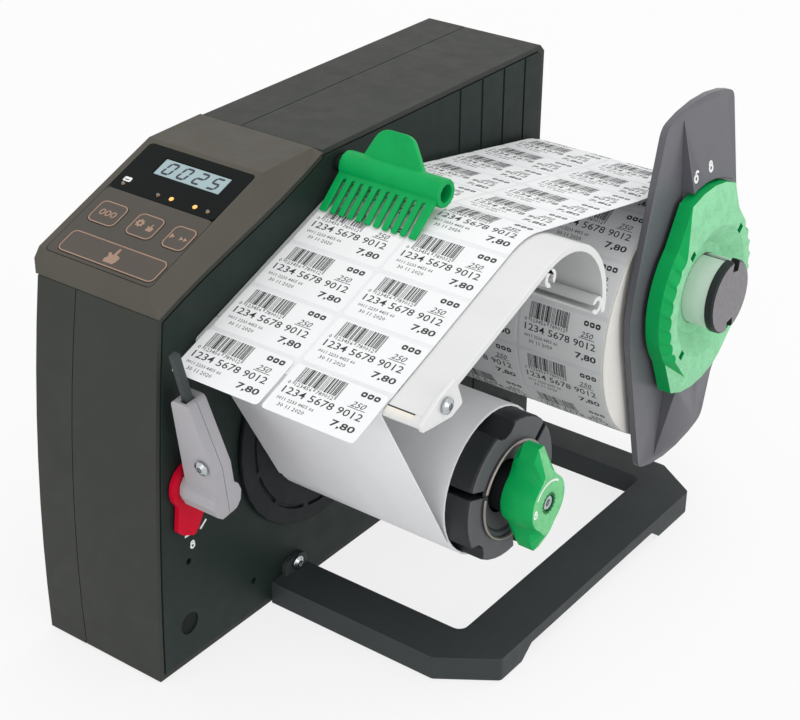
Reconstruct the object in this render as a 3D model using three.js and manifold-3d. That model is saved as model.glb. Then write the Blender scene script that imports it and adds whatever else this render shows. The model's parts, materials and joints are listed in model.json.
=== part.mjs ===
// A desk-top label dispenser: a flat housing with a control panel, a dispensing table with a peel
// edge, a supply shaft with a label roll, a rewinder for the empty liner and a front foot frame.
// Millimetres, +Z up. X = 0 is the outer face of the side plate and +X runs to the free ends of the
// shafts, +Y runs from the front to the back, and Z = 0 is the surface that the machine stands on.

import * as THREE from "three";
import { mergeVertices } from "three/addons/utils/BufferGeometryUtils.js";
import Module from "manifold-3d";

const manifoldLibrary = await Module();
manifoldLibrary.setup();

// Shared clearances and facets
const GAP = 0.3;
const OVERRUN = 2;
const CHORD = 4.5;
const SMALL_RADIUS = 3.5;
const SMALL_STEPS = 8;
const MIN_STEPS = 12;
const MAX_STEPS = 40;
const FILLET_STEP = 18;
const CURVE_STEPS = 8;

// Housing
const HOUSING_WIDTH = 77;
const MAIN_COVER_WIDTH = 45;
const PLATE_THICKNESS = 6;
const HOUSING_HEIGHT = 235.2;
const HOUSING_BACK = 320.6;
const GROUND_GAP = 1.2;
const COVER_WALL = 3;
const COVER_EDGE = 1.6;
const COVER_RIM_STEP = 0.6;
const FRONT_FOOT = -1.4;
const SHOULDER_Y = 12.1;
const SHOULDER_DROP = 43;
const CREST_Y = 127;
const CREST_DROP = 1.6;
const FRONT_BULGE = 3.2;
const FRONT_BOW = 4.5;
const BULGE_EDGE_SHARE = 0.7;
const RIDGE_X = -34;
const BACK_CORNER = 4;
const BOARD_POST_RADIUS = 4;
const SHOULDER_CURVE_SHARES = [[0.33, 0.406], [0.634, 0.539]];
const FRONT_CURVE_HEIGHT_SHARE = 0.52;

// Grooves, holes and bosses of the side plate
const GROOVE_FIRST_Y = 239.8;
const GROOVE_PITCH = 20.3;
const GROOVE_COUNT = 4;
const GROOVE_WIDTH = 1.6;
const GROOVE_DEPTH = 0.8;
const GROOVE_FOOT_Z = 40;
const PLUG_RADIUS = 6;
const PLUG_DEPTH = 1;
const SCREW_HOLE_RADIUS = 1.8;
const SCREW_HOLE_DEPTH = 4;
const PLUG_PLACE = [20.2, 24.2];
const SCREW_HOLE_PLACES = [[22, 59.5], [67.4, 22.1]];
const BEARING_RADIUS = 15;
const BEARING_WIDTH = 9;
const BEARING_WALL = 4;

// Control panel: its cap, and the flat pieces of its slope
const PANEL_ANGLE = 21.54;
const PANEL_RIDGE_Y = 90.5;
const PANEL_NOSE_HEIGHT = 8;
const PANEL_CHAMFER = 3.6;
const PANEL_WALL = 2.6;
const FOIL_DEPTH = 1;
const FOIL_THICKNESS = 0.7;
const FOIL_EDGE_SHARES = [0.948, 0.099];
const FOIL_START = 17;
const FOIL_END = 62;
const FOIL_CORNER = 2.5;
const WINDOW_LENGTH = 32;
const LCD_EDGE_SHARES = [0.753, 0.221];
const LCD_START = 77.4;
const LCD_LENGTH = 11.1;
const LCD_THICKNESS = 1.6;
const LCD_RECESS = 0.4;
const LIGHT_ROW = 66.4;
const LIGHT_RADIUS = 0.9;
const LIGHT_BAR_HEIGHT = 1.4;
const LIGHT_PLACE_SHARES = [0.873, 0.584, 0.475, 0.287, 0.187];
const KEY_ROW_START = 39.8;
const KEY_ROW_LENGTH = 14;
const START_KEY_START = 19;
const START_KEY_LENGTH = 13.6;
const KEY_CORNER = 3.4;
const KEY_THICKNESS = 0.6;
const KEY_RISE = 0.25;
const KEY_EDGE_SHARES = [[0.883, 0.662], [0.574, 0.366], [0.286, 0.112]];
const START_KEY_EDGE_SHARES = [0.883, 0.112];
const BOARD_THICKNESS = 1.6;
const BOARD_MARGIN = 4;
const PANEL_POST_RADIUS = 2.5;
const BOARD_DROP = 3.2;

// Dispensing table: a flat run that is tangent to the arch behind it
const TABLE_ANGLE = 21.06;
const TABLE_WALL = 3.6;
const TABLE_END = 125;
const TABLE_FRONT_Y = 33.5;
const TABLE_FRONT_DROP = 60.7;
const TABLE_RUN = 102.5;
const ARCH_RADIUS = 39.8;
const ARCH_END_ANGLE = -31.8;
const PEEL_EDGE_LENGTH = 16;
const CHANNEL_RADIUS = 4.6;
const CHANNEL_BORE = 2.4;
const CHANNEL_SLOT = 2.6;
const BRACKET_THICKNESS = 2.2;
const BRACKET_FRONT = -1.4;
const BRACKET_BACK = 26;
const BRACKET_TOP = 4.6;
const BRACKET_DROP = 10.9;
const BRACKET_SCREW_Y = 15.7;
const BRACKET_SCREW_DROP = 1.8;
const BRACKET_CORNER = 1.5;

// Screws with a round head
const HEAD_RADIUS = 3.9;
const HEAD_HEIGHT = 2.4;
const SHANK_RADIUS = 1.9;
const SHANK_LENGTH = 9;
const RECESS_RADIUS = 1.7;
const RECESS_DEPTH = 1.2;
const HEX_SIDES = 6;

// Label web, labels and liner
const WEB_START = 3.5;
const WEB_THICKNESS = 0.5;
const LABEL_WIDTH = 50;
const LABEL_LENGTH = 28;
const LABEL_SPACING = 2;
const LABEL_CORNER = 2;
const LABEL_THICKNESS = 0.4;
const LABEL_OVERHANG = 20.5;
const LABEL_COUNT = 2;
const WRAP_START = 9;

// Supply side
const SUPPLY_Y = 287.7;
const SUPPLY_Z = 136.6;
const SHAFT_RADIUS = 19;
const SHAFT_WALL = 3.5;
const SHAFT_LENGTH = 135;
const SHAFT_FOOT_RADIUS = 28;
const SHAFT_FOOT_THICKNESS = 2.2;
const SHAFT_GROOVE_WIDTH = 5;
const SHAFT_GROOVE_DEPTH = 1.6;
const CAP_RADIUS = 20;
const CAP_THICKNESS = 4.7;
const CAP_SPIGOT = 8;
const CAP_NOTCH_WIDTH = 6;
const CAP_NOTCH_DEPTH = 6;
const CAP_NOTCH_ANGLES = [79, -84];
const CORE_BORE_RADIUS = 38;
const CORE_WALL = 3;
const ROLL_RADIUS = 69;
const ROLL_START = 3;
const ROLL_WIDTH = 104;

// Outer guide flange of the supply roll and its clamp ring
const PADDLE_X = 110;
const PADDLE_THICKNESS = 3.4;
const PADDLE_REACH = 103.5;
const PADDLE_END_HALF = 35;
const PADDLE_WAIST_HALF = 59.4;
const PADDLE_BEND_RADIUS = 60;
const PADDLE_END_CORNER = 8;
const RIB_HEIGHT = 2.6;
const RIB_START = 30;
const RIB_END = 97;
const RAMP_HEIGHT = 7;
const RAMP_LEFT_SHARES = [-0.3, -0.52];
const RAMP_RIGHT_SHARES = [0.86, 0.8];
const SLEEVE_WALL = 4.2;
const SLEEVE_BACK = 2.4;
const SLEEVE_REACH = 5;
const RING_DEPTH = 12.4;
const RING_RADIUS = 46.5;
const RING_FACE_RADIUS = 43.5;
const RING_SCALLOP = 2.4;
const RING_SCALLOP_COUNT = 8;
const RING_SCALLOP_STEPS = 3;
const RING_WING_RADIUS = 57.5;
const RING_WING_FACE_RADIUS = 47;
const RING_WING_DEPTH = 7.7;
const RING_WING_HALF_ANGLE = 24;
const RING_WING_FOOT_ANGLE = 47;
const RING_WING_STEPS = 5;
const RING_LEAN = 87;
const DISH_RADIUS = 36;
const DISH_FLOOR_RADIUS = 25;
const DISH_DEPTH = 7;
const RING_SLOT_REACH = 40;
const RING_SLOT_SIDE = 4.4;
const RING_SLOT_ANGLE = 43;
const RING_SWEEP_GAP = 1.5;

// Rewinder
const REWINDER_Y = 118.5;
const REWINDER_Z = 97.5;
const SPINDLE_RADIUS = 8;
const SPINDLE_BACK = -46;
const SPINDLE_SHOULDER = 106;
const STUB_RADIUS = 5;
const STUB_REACH = 24;
const DISC_START = 0.9;
const DISC_THICKNESS = 2.3;
const DISC_RADIUS = 60;
const DISC_SLOT_RADIUS = 50;
const DISC_SLOT_WIDTH = 2;
const DISC_SLOT_DEPTH = 1.4;
const DISC_SLOT_COUNT = 12;
const DISC_SLOT_HALF_ANGLE = 12;
const CORE_TUBE_RADIUS = 25;
const CORE_TUBE_WALL = 3;
const CORE_TUBE_REACH = 6;
const CORE_WEB = 4;
const CORE_SLEEVE_RADIUS = 12;
const CORE_SLEEVE_REACH = 14;
const CORE_STEPS = 32;
const HUB_RADIUS = 36.2;
const HUB_INNER_RADIUS = 26.6;
const HUB_REACH = 12;
const HUB_CHAMFER = 1.2;
const HUB_LIP_RADIUS = 19.5;
const HUB_LIP_CHAMFER = 3;
const HUB_SLIT = 3.2;
const HUB_SLIT_ANGLE = 40;
const SEGMENT_COUNT = 3;
const NOTCH_RADIUS = 8;
const NOTCH_REACH = 39;
const NOTCH_LENGTH = 20;
const WOUND_THICKNESS = 1.1;
const SPRING_RADIUS = 24.6;
const SPRING_WIRE = 0.8;
const SPRING_SIDES = 6;
const KNOB_GAP = 3;
const KNOB_LENGTH = 17.5;
const KNOB_RADIUS = 14.8;
const KNOB_WING = 14.2;
const KNOB_WING_POWER = 20;
const KNOB_ANGLE = 90;
const KNOB_STEPS = 40;
const KNOB_SPIGOT_RADIUS = 9;
const KNOB_SPIGOT_GAP = 1;
const KNOB_WELL_RADIUS = 5;
const KNOB_WELL_DEPTH = 4.4;
const KNOB_SECTION_SHARES = [[0, 0.96, 0.66], [0.2, 1, 1], [0.68, 1, 1], [1, 0.93, 0.28]];

// Drive of the rewinder inside the housing
const FRAME_X = -40;
const FRAME_THICKNESS = 3;
const FRAME_FRONT = 76;
const FRAME_BACK = 244;
const FRAME_FOOT = 30;
const FRAME_TOP = 150;
const FRAME_CORNER = 10;
const STANDOFF_RADIUS = 5;
const STANDOFF_INSET = 12;
const PULLEY_X = -30;
const PULLEY_WIDTH = 10;
const PULLEY_RADIUS = 36;
const PULLEY_FLANGE = 2.4;
const PULLEY_FLANGE_WIDTH = 1.4;
const PULLEY_WEB = 5;
const PULLEY_RIM = 4;
const PULLEY_STEPS = 24;
const MOTOR_PULLEY_RADIUS = 12;
const BELT_THICKNESS = 1.8;
const BELT_WIDTH = 6.4;
const MOTOR_Y = 205;
const MOTOR_Z = 72;
const MOTOR_SIZE = 56.4;
const MOTOR_CORNER = 6;
const MOTOR_BACK_GAP = 1.7;
const MOTOR_SHAFT_RADIUS = 3.2;
const MOTOR_SHAFT_SHARE = 0.62;
const MOTOR_PILOT_RADIUS = 19;
const MAIN_BOARD_GAP = 15;
const MAIN_BOARD_FRONT = 24;
const MAIN_BOARD_BACK = 164;
const MAIN_BOARD_FOOT = 24;
const MAIN_BOARD_TOP = 164;
const MAIN_BOARD_INSET = 8;

// Mains inlet and switch in the back wall
const INLET_INSET = 4;
const INLET_WIDTH = 31;
const INLET_FOOT = 28;
const INLET_HEIGHT = 62;
const INLET_FLANGE = 2.4;
const INLET_MARGIN = 4;
const INLET_DEPTH = 26;
const INLET_CORNER = 3;
const SOCKET_WIDTH = 24;
const SOCKET_HEIGHT = 16.5;
const SOCKET_CHAMFER = 5;
const SOCKET_DEPTH = 17;
const SOCKET_RISE = 17;
const PIN_WIDTH = 2;
const PIN_HEIGHT = 4;
const PIN_PITCH = 7;
const PIN_RECESS = 5.8;
const ROCKER_WIDTH = 13;
const ROCKER_HEIGHT = 20;
const ROCKER_DEPTH = 7;
const ROCKER_PROUD = 3;
const ROCKER_RISE = 44;
const ROCKER_TILT = 6;
const ROCKER_WELL = 14;
const ROCKER_TAPER_SHARE = 0.8;

// Foot frame and rubber feet
const FOOT_FRAME_HEIGHT = 14.2;
const FOOT_FRONT = 80;
const FOOT_FRONT_WIDTH = 25.4;
const FOOT_BACK = 300.1;
const FOOT_BACK_WIDTH = 19.7;
const FOOT_REACH = 129;
const FOOT_SIDE_WIDTH = 28;
const FOOT_CHAMFER_X = 27.5;
const FOOT_CHAMFER_Y = 19;
const FOOT_BACK_CHAMFER_X = 24;
const FOOT_BACK_CHAMFER_Y = 16;
const FOOT_EDGE = 2;
const FOOT_CORNER = 3;
const FOOT_INNER_CORNER = 5;
const FOOT_ARCH_START = 116;
const FOOT_ARCH_END = 255;
const FOOT_ARCH_RISE = 6.5;
const FOOT_ARCH_RUN = 10;
const LUG_THICKNESS = 3;
const LUG_HEIGHT = 22;
const LUG_WIDTH = 17;
const LUG_CORNER = 5;
const LUG_SCREW_Z = 18.5;
const FOOT_PAD_SHARE = 0.346;
const FOOT_PAD_HEIGHT = 2.4;
const PAD_INSET = 16;

// Comb that holds the web down
const COMB_Y = 140;
const COMB_DROP = 10.2;
const COMB_START = 4;
const COMB_END = 62;
const COMB_TUBE_RADIUS = 7;
const COMB_BORE = 4.4;
const COMB_THICKNESS = 3.2;
const COMB_TIP_THICKNESS = 1.3;
const FINGER_COUNT = 11;
const FINGER_END = 60.4;
const FINGER_SLOT = 1.9;
const FINGER_ROOT = 8.6;
const FINGER_REACH = 40;
const COMB_TIP_Y = 118.8;
const FIN_LEFT = 12;
const FIN_RIGHT = 49;
const FIN_TOP_LEFT = 18;
const FIN_TOP_RIGHT = 36;
const FIN_HEIGHT = 21;
const FIN_THICKNESS = 3.4;
const FIN_LEAN = 28;
const FIN_CORNER = 8;
const ROD_RADIUS = 4;
const ROD_END = 54;
const ROD_HEAD_RADIUS = 7;
const ROD_HEAD = 3;

// Label sensor: two half shells, a feeler and a clamp lever round one pivot
const SENSOR_Y = 23;
const SENSOR_DROP = 70.5;
const SENSOR_START = 6.3;
const SENSOR_WIDTH = 19.7;
const SENSOR_TOP_WIDTH = 10.4;
const SENSOR_HALF_DEPTH = 5.7;
const SENSOR_TAPER_RISE = 19;
const SENSOR_RISE = 53.4;
const SENSOR_LEAN = 8;
const SENSOR_CORNER = 2.5;
const SENSOR_BOSS_RADIUS = 9.3;
const SENSOR_COLLAR_RADIUS = 8.3;
const SENSOR_SCREW_RISE = 20.5;
const SENSOR_SCREW_SHARE = 0.67;
const FEELER_X = 12.6;
const FEELER_THICKNESS = 3.4;
const FEELER_WIDTH = 4;
const FEELER_TIP_WIDTH = 3.8;
const FEELER_RISE = 31;
const FEELER_LEAN = 15;
const FEELER_PIN_RADIUS = 1.2;
const FEELER_PIN_REACH = 2;
const FEELER_ROOM = 1.2;
const FEELER_TAIL = 4;
const FEELER_Y = -7.4;
const FEELER_Z = 48;
const LEVER_START = 0.8;
const LEVER_THICKNESS = 2.6;
const LEVER_RADIUS = 12.4;
const LEVER_TAB_CORNER = 2;
const LEVER_TAB_REACH = 28.7;
const LEVER_TAB_SHARES = [
  [-0.3, -0.25], [-0.362, -0.763], [-0.23, -0.878], [0.024, -1],
  [0.129, -0.895], [0.279, -0.627], [0.314, -0.25],
];
const PIVOT_RADIUS = 4;
const PIVOT_HEAD_RADIUS = 7;
const PIVOT_HEAD = 3;

// Places that follow from the sizes above
const COVER_X = -PLATE_THICKNESS - MAIN_COVER_WIDTH;
const LEFT_COVER_WIDTH = HOUSING_WIDTH + COVER_X;
const SHOULDER_Z = HOUSING_HEIGHT - SHOULDER_DROP;
const CREST_Z = HOUSING_HEIGHT - CREST_DROP;
const DEGREE = Math.PI / 180;
const PANEL_SLOPE = Math.tan(PANEL_ANGLE * DEGREE);
const PANEL_FOOT_Z = HOUSING_HEIGHT - CREST_DROP / 2 - PANEL_SLOPE * PANEL_RIDGE_Y;
const [FOIL_LEFT, FOIL_RIGHT] = acrossPanel(FOIL_EDGE_SHARES);
const [LCD_LEFT, LCD_RIGHT] = acrossPanel(LCD_EDGE_SHARES);
const LIGHT_PLACES = acrossPanel(LIGHT_PLACE_SHARES);
const KEY_EDGES = KEY_EDGE_SHARES.map(acrossPanel);
const START_KEY_EDGES = acrossPanel(START_KEY_EDGE_SHARES);
const INLET_LEFT = COVER_X + INLET_INSET;
const FOOT_PAD_RADIUS = FOOT_PAD_SHARE * LEFT_COVER_WIDTH;
const MAIN_BOARD_X = -HOUSING_WIDTH + MAIN_BOARD_GAP;
const MOTOR_LENGTH = HOUSING_WIDTH - COVER_WALL - MOTOR_BACK_GAP - GAP + FRAME_X;
const MOTOR_SHAFT_DEPTH = MOTOR_SHAFT_SHARE * MOTOR_LENGTH;
const TABLE_FRONT_Z = HOUSING_HEIGHT - TABLE_FRONT_DROP;
const COMB_Z = HOUSING_HEIGHT - COMB_DROP;
const SENSOR_Z = TABLE_FRONT_Z - SENSOR_DROP;
const CORE_TUBE_END = SPINDLE_SHOULDER + CORE_TUBE_REACH;
const HUB_END = SPINDLE_SHOULDER + HUB_REACH;
const STUB_END = SPINDLE_SHOULDER + STUB_REACH;
const KNOB_START = HUB_END + KNOB_GAP;
const KNOB_END = KNOB_START + KNOB_LENGTH;
const KNOB_SPIGOT_START = SPINDLE_SHOULDER + KNOB_SPIGOT_GAP;
const PIVOT_END = SENSOR_START + SENSOR_WIDTH - SENSOR_CORNER;
const NOSE_RADIUS = TABLE_WALL / 2;
const NOSE_PLACE = [NOSE_RADIUS, -NOSE_RADIUS];
const ARCH_PLACE = [TABLE_RUN, -ARCH_RADIUS];
const WEB_BACK = GAP + WEB_THICKNESS;
const ROLL_Z = SHAFT_RADIUS + GAP - CORE_BORE_RADIUS;
const WEB_WIDTH = LABEL_COUNT * LABEL_WIDTH + (LABEL_COUNT - 1) * LABEL_SPACING;
const WEB_END = WEB_START + WEB_WIDTH;
const WOUND_RADIUS = HUB_RADIUS + GAP + WOUND_THICKNESS;
const RING_X = PADDLE_X + PADDLE_THICKNESS + RIB_HEIGHT + GAP;

function acrossPanel(shares) {
  return shares.map((share) => -share * HOUSING_WIDTH);
}

// Finishes as seen on the machine
const PLATE_PAINT = { color: 0x26302e, roughness: 0.5, metalness: 0.3 };
const COVER_PAINT = { color: 0x47463f, roughness: 0.62, metalness: 0.1 };
const PANEL_PLASTIC = { color: 0x5c5a54, roughness: 0.6, metalness: 0 };
const FOIL_PLASTIC = { color: 0x4f4b47, roughness: 0.45, metalness: 0 };
const KEY_PLASTIC = { color: 0x6d605a, roughness: 0.45, metalness: 0 };
const WINDOW_GLOSS = { color: 0x0b0c0e, roughness: 0.12, metalness: 0 };
const LCD_GLASS = { color: 0xb9cdd4, roughness: 0.15, metalness: 0 };
const LIGHT_AMBER = { color: 0xe8a33c, roughness: 0.3, metalness: 0 };
const GREEN_PLASTIC = { color: 0x1fa458, roughness: 0.42, metalness: 0 };
const RED_PLASTIC = { color: 0xd50a2c, roughness: 0.4, metalness: 0 };
const GREY_PLASTIC = { color: 0x9c9da2, roughness: 0.45, metalness: 0 };
const DARK_PLASTIC = { color: 0x35383a, roughness: 0.5, metalness: 0 };
const FLANGE_PLASTIC = { color: 0x4c4c52, roughness: 0.42, metalness: 0 };
const BLACK_RUBBER = { color: 0x191a1b, roughness: 0.85, metalness: 0 };
const WHITE_PAPER = { color: 0xf1f1f2, roughness: 0.8, metalness: 0 };
const LINER_PAPER = { color: 0xe6e7ea, roughness: 0.5, metalness: 0 };
const CARDBOARD = { color: 0xb9a184, roughness: 0.9, metalness: 0 };
const ALUMINIUM = { color: 0xd9dadb, roughness: 0.4, metalness: 0.6 };
const STEEL = { color: 0xb9bcbf, roughness: 0.3, metalness: 0.9 };
const BOARD_GREEN = { color: 0x1d5b3a, roughness: 0.5, metalness: 0 };

// Booleans

function closed(geometry) {
  const bare = new THREE.BufferGeometry();
  bare.setAttribute("position", geometry.getAttribute("position"));
  bare.setIndex(geometry.getIndex());
  const merged = mergeVertices(bare);
  const corners = merged.getAttribute("position").array;
  const index = merged.getIndex().array;
  const faces = [];
  const [a, b, c] = [new THREE.Vector3(), new THREE.Vector3(), new THREE.Vector3()];
  let volume = 0;
  for (let i = 0; i < index.length; i += 3) {
    const [p, q, r] = [index[i], index[i + 1], index[i + 2]];
    if (p === q || q === r || r === p) continue;
    faces.push(p, q, r);
    a.fromArray(corners, 3 * p);
    b.fromArray(corners, 3 * q);
    c.fromArray(corners, 3 * r);
    volume += a.dot(b.cross(c));
  }
  if (volume < 0) faces.reverse();
  merged.setIndex(faces);
  return merged;
}

function solidOf(geometry) {
  const body = closed(geometry);
  const vertProperties = new Float32Array(body.getAttribute("position").array);
  const triVerts = new Uint32Array(body.getIndex().array);
  return new manifoldLibrary.Manifold(new manifoldLibrary.Mesh({ numProp: 3, vertProperties, triVerts }));
}

function geometryOf(solid) {
  const mesh = solid.getMesh();
  const geometry = new THREE.BufferGeometry();
  geometry.setAttribute("position", new THREE.BufferAttribute(mesh.vertProperties, 3));
  geometry.setIndex(new THREE.BufferAttribute(mesh.triVerts, 1));
  return geometry;
}

function cut(base, ...tools) {
  return geometryOf(tools.reduce((rest, tool) => rest.subtract(solidOf(tool)), solidOf(base)));
}

function join(...parts) {
  return geometryOf(parts.slice(1).reduce((sum, part) => sum.add(solidOf(part)), solidOf(parts[0])));
}

function common(base, tool) {
  return geometryOf(solidOf(base).intersect(solidOf(tool)));
}

// Outlines: lists of [u, v] corners, which are [Y, Z], [X, Z] or [X, Y] by the way they are swept

function stepsFor(radius) {
  if (radius < SMALL_RADIUS) return SMALL_STEPS;
  const steps = 4 * Math.round((Math.PI * radius) / (2 * CHORD));
  return THREE.MathUtils.clamp(steps, MIN_STEPS, MAX_STEPS);
}

function polar(radius, angle, u = 0, v = 0) {
  return [u + radius * Math.cos(angle * DEGREE), v + radius * Math.sin(angle * DEGREE)];
}

function arc(u, v, radius, from, to) {
  if (from === to) return [polar(radius, from, u, v)];
  const share = Math.abs(to - from) / 360;
  const steps = Math.max(2, Math.ceil(share * stepsFor(radius)));
  return Array.from({ length: steps + 1 }, (_, i) => polar(radius, from + ((to - from) * i) / steps, u, v));
}

function circle(u, v, radius) {
  const steps = stepsFor(radius);
  return Array.from({ length: steps }, (_, i) => polar(radius, (360 * i) / steps, u, v));
}

function box2(u0, u1, v0, v1) {
  return [[u0, v0], [u1, v0], [u1, v1], [u0, v1]];
}

function curve(points) {
  const bezier = points.length === 4 ? THREE.CubicBezierCurve : THREE.QuadraticBezierCurve;
  const line = new bezier(...points.map(([u, v]) => new THREE.Vector2(u, v)));
  return line.getPoints(CURVE_STEPS).map((point) => [point.x, point.y]);
}

// Rounds each corner: [u, v] by the common radius and [u, v, radius] by its own.
function rounded(corners, radius) {
  return corners.flatMap(([u, v, own = radius], i) => {
    if (own === 0) return [[u, v]];
    const corner = new THREE.Vector2(u, v);
    const before = new THREE.Vector2(...corners.at(i - 1)).sub(corner);
    const after = new THREE.Vector2(...corners[(i + 1) % corners.length]).sub(corner);
    const half = Math.acos(before.dot(after) / before.length() / after.length()) / 2;
    const room = Math.min(before.length(), after.length()) / 2;
    const reach = Math.min(own / Math.tan(half), room);
    const bow = reach * Math.tan(half);
    const middle = before.clone().normalize().add(after.clone().normalize()).normalize();
    const centre = corner.clone().addScaledVector(middle, bow / Math.sin(half));
    const start = corner.clone().addScaledVector(before.normalize(), reach).sub(centre);
    const end = corner.clone().addScaledVector(after.normalize(), reach).sub(centre);
    const first = start.angle() / DEGREE;
    const sweep = THREE.MathUtils.euclideanModulo(end.angle() / DEGREE - first + 180, 360) - 180;
    const steps = Math.max(1, Math.round(Math.abs(sweep) / FILLET_STEP));
    const turn = (k) => first + (sweep * k) / steps;
    return Array.from({ length: steps + 1 }, (_, k) => polar(bow, turn(k), centre.x, centre.y));
  });
}

// A slot along an arc round the origin, with round ends
function arcSlot(radius, width, middle, halfAngle) {
  const outer = arc(0, 0, radius + width / 2, middle - halfAngle, middle + halfAngle);
  const inner = arc(0, 0, radius - width / 2, middle + halfAngle, middle - halfAngle);
  const end = polar(radius, middle + halfAngle);
  const start = polar(radius, middle - halfAngle);
  const endCap = arc(...end, width / 2, middle + halfAngle, middle + halfAngle + 180).slice(1, -1);
  const startCap = arc(...start, width / 2, middle - halfAngle + 180, middle - halfAngle + 360).slice(1, -1);
  return [...outer, ...endCap, ...inner, ...startCap];
}

// Normal angle of the common tangent of two circles; side is 1 or -1.
function tangentNormal([u0, v0], radius0, [u1, v1], radius1, side) {
  const heading = Math.atan2(v1 - v0, u1 - u0);
  const tilt = Math.acos((radius0 - radius1) / Math.hypot(u1 - u0, v1 - v0));
  return (heading + side * tilt) / DEGREE;
}

// Swept, turned and lofted bodies

const AXIS_X = new THREE.Vector3(1, 0, 0);
const AXIS_Y = new THREE.Vector3(0, 1, 0);
const AXIS_Z = new THREE.Vector3(0, 0, 1);
const ALONG_X = new THREE.Matrix4().makeBasis(AXIS_Y, AXIS_Z, AXIS_X);
const ALONG_BACK = new THREE.Matrix4().makeBasis(AXIS_X, AXIS_Z, AXIS_Y.clone().negate());
const ROUND_X = new THREE.Matrix4().makeBasis(AXIS_Z, AXIS_X, AXIS_Y);

function sweep(corners, depth, holes = []) {
  const path = (points) => points.map(([u, v]) => new THREE.Vector2(u, v));
  const shape = new THREE.Shape(path(corners));
  shape.holes = holes.map((hole) => new THREE.Path(path(hole)));
  return new THREE.ExtrudeGeometry(shape, { depth, bevelEnabled: false });
}

function prismX(corners, from, to, holes) {
  return sweep(corners, to - from, holes).applyMatrix4(ALONG_X).translate(from, 0, 0);
}

function prismY(corners, from, to, holes) {
  return sweep(corners, to - from, holes).applyMatrix4(ALONG_BACK).translate(0, to, 0);
}

function prismZ(corners, from, to, holes) {
  return sweep(corners, to - from, holes).translate(0, 0, from);
}

function rodX(y, z, radius, from, to) {
  return prismX(circle(y, z, radius), from, to);
}

// Turns a closed profile of [x, radius] corners round the X axis.
function turned(profile, steps) {
  const points = [...profile, profile[0]].map(([x, radius]) => new THREE.Vector2(radius, x));
  const largest = Math.max(...profile.map(([, radius]) => radius));
  return new THREE.LatheGeometry(points, steps ?? stepsFor(largest)).applyMatrix4(ROUND_X);
}

function ring(inner, outer, from, to) {
  return turned([[from, inner], [from, outer], [to, outer], [to, inner]]);
}

function capFaces(outline, offset, reverse) {
  const points = outline.map(([u, v]) => new THREE.Vector2(u, v));
  const outer = THREE.ShapeUtils.area(points) > 0;
  return THREE.ShapeUtils.triangulateShape(points, []).flatMap(([p, q, r]) => {
    const turn = THREE.ShapeUtils.area([points[p], points[q], points[r]]) > 0;
    const face = turn === outer ? [p, q, r] : [p, r, q];
    return (reverse ? face.reverse() : face).map((corner) => corner + offset);
  });
}

// A closed body through sections of equally many [u, v] corners, each at its own place on the axis.
function loft(sections, axis) {
  const count = sections[0].outline.length;
  const corners = sections.flatMap(({ at, outline }) => outline.map(([u, v]) => [u, v, at]));
  const faces = [];
  for (let section = 0; section < sections.length - 1; section += 1) {
    for (let i = 0; i < count; i += 1) {
      const near = section * count + i;
      const next = section * count + ((i + 1) % count);
      faces.push(near, next, next + count, near, next + count, near + count);
    }
  }
  faces.push(...capFaces(sections[0].outline, 0, true));
  faces.push(...capFaces(sections.at(-1).outline, (sections.length - 1) * count, false));
  const geometry = new THREE.BufferGeometry();
  geometry.setAttribute("position", new THREE.Float32BufferAttribute(corners.flat(), 3));
  geometry.setIndex(faces);
  return geometry.applyMatrix4(axis);
}

function scaled(outline, shareU, shareV = shareU) {
  return outline.map(([u, v]) => [u * shareU, v * shareV]);
}

// Draws an outline in by the same amount on every side of its box.
function inset(outline, amount) {
  const us = outline.map(([u]) => u);
  const vs = outline.map(([, v]) => v);
  const [u0, u1, v0, v1] = [Math.min(...us), Math.max(...us), Math.min(...vs), Math.max(...vs)];
  const [middleU, middleV] = [(u0 + u1) / 2, (v0 + v1) / 2];
  const shareU = 1 - (2 * amount) / (u1 - u0);
  const shareV = 1 - (2 * amount) / (v1 - v0);
  return outline.map(([u, v]) => [middleU + (u - middleU) * shareU, middleV + (v - middleV) * shareV]);
}

// Scene graph

const machine = new THREE.Group();
const object = new THREE.Group();
object.add(machine);

function subGroup(parent, y, z, angle = 0) {
  const group = new THREE.Group();
  group.position.set(0, y, z);
  group.rotation.x = angle * DEGREE;
  group.updateMatrix();
  parent.add(group);
  return group;
}

function piece(parent, name, geometry, finish) {
  const mesh = new THREE.Mesh(closed(geometry), new THREE.MeshStandardMaterial(finish));
  mesh.name = name;
  parent.add(mesh);
}

// A round-headed screw along X whose head rests on the face at x
function screwX(x, length = SHANK_LENGTH) {
  const head = turned([
    [x - length, 0], [x - length, SHANK_RADIUS], [x, SHANK_RADIUS], [x, HEAD_RADIUS],
    [x + HEAD_HEIGHT / 2, HEAD_RADIUS], [x + HEAD_HEIGHT, HEAD_RADIUS / 2], [x + HEAD_HEIGHT, 0],
  ], 2 * HEX_SIDES);
  const recess = Array.from({ length: HEX_SIDES }, (_, i) => polar(RECESS_RADIUS, (360 * i) / HEX_SIDES));
  return cut(head, prismX(recess, x + HEAD_HEIGHT - RECESS_DEPTH, x + HEAD_HEIGHT + OVERRUN));
}

// Housing

function shoulderCurve() {
  const run = CREST_Y - SHOULDER_Y;
  const rise = CREST_Z - SHOULDER_Z;
  const bends = SHOULDER_CURVE_SHARES.map(([u, v]) => [SHOULDER_Y + u * run, SHOULDER_Z + v * rise]);
  return curve([[SHOULDER_Y, SHOULDER_Z], ...bends, [CREST_Y, CREST_Z]]);
}

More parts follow.
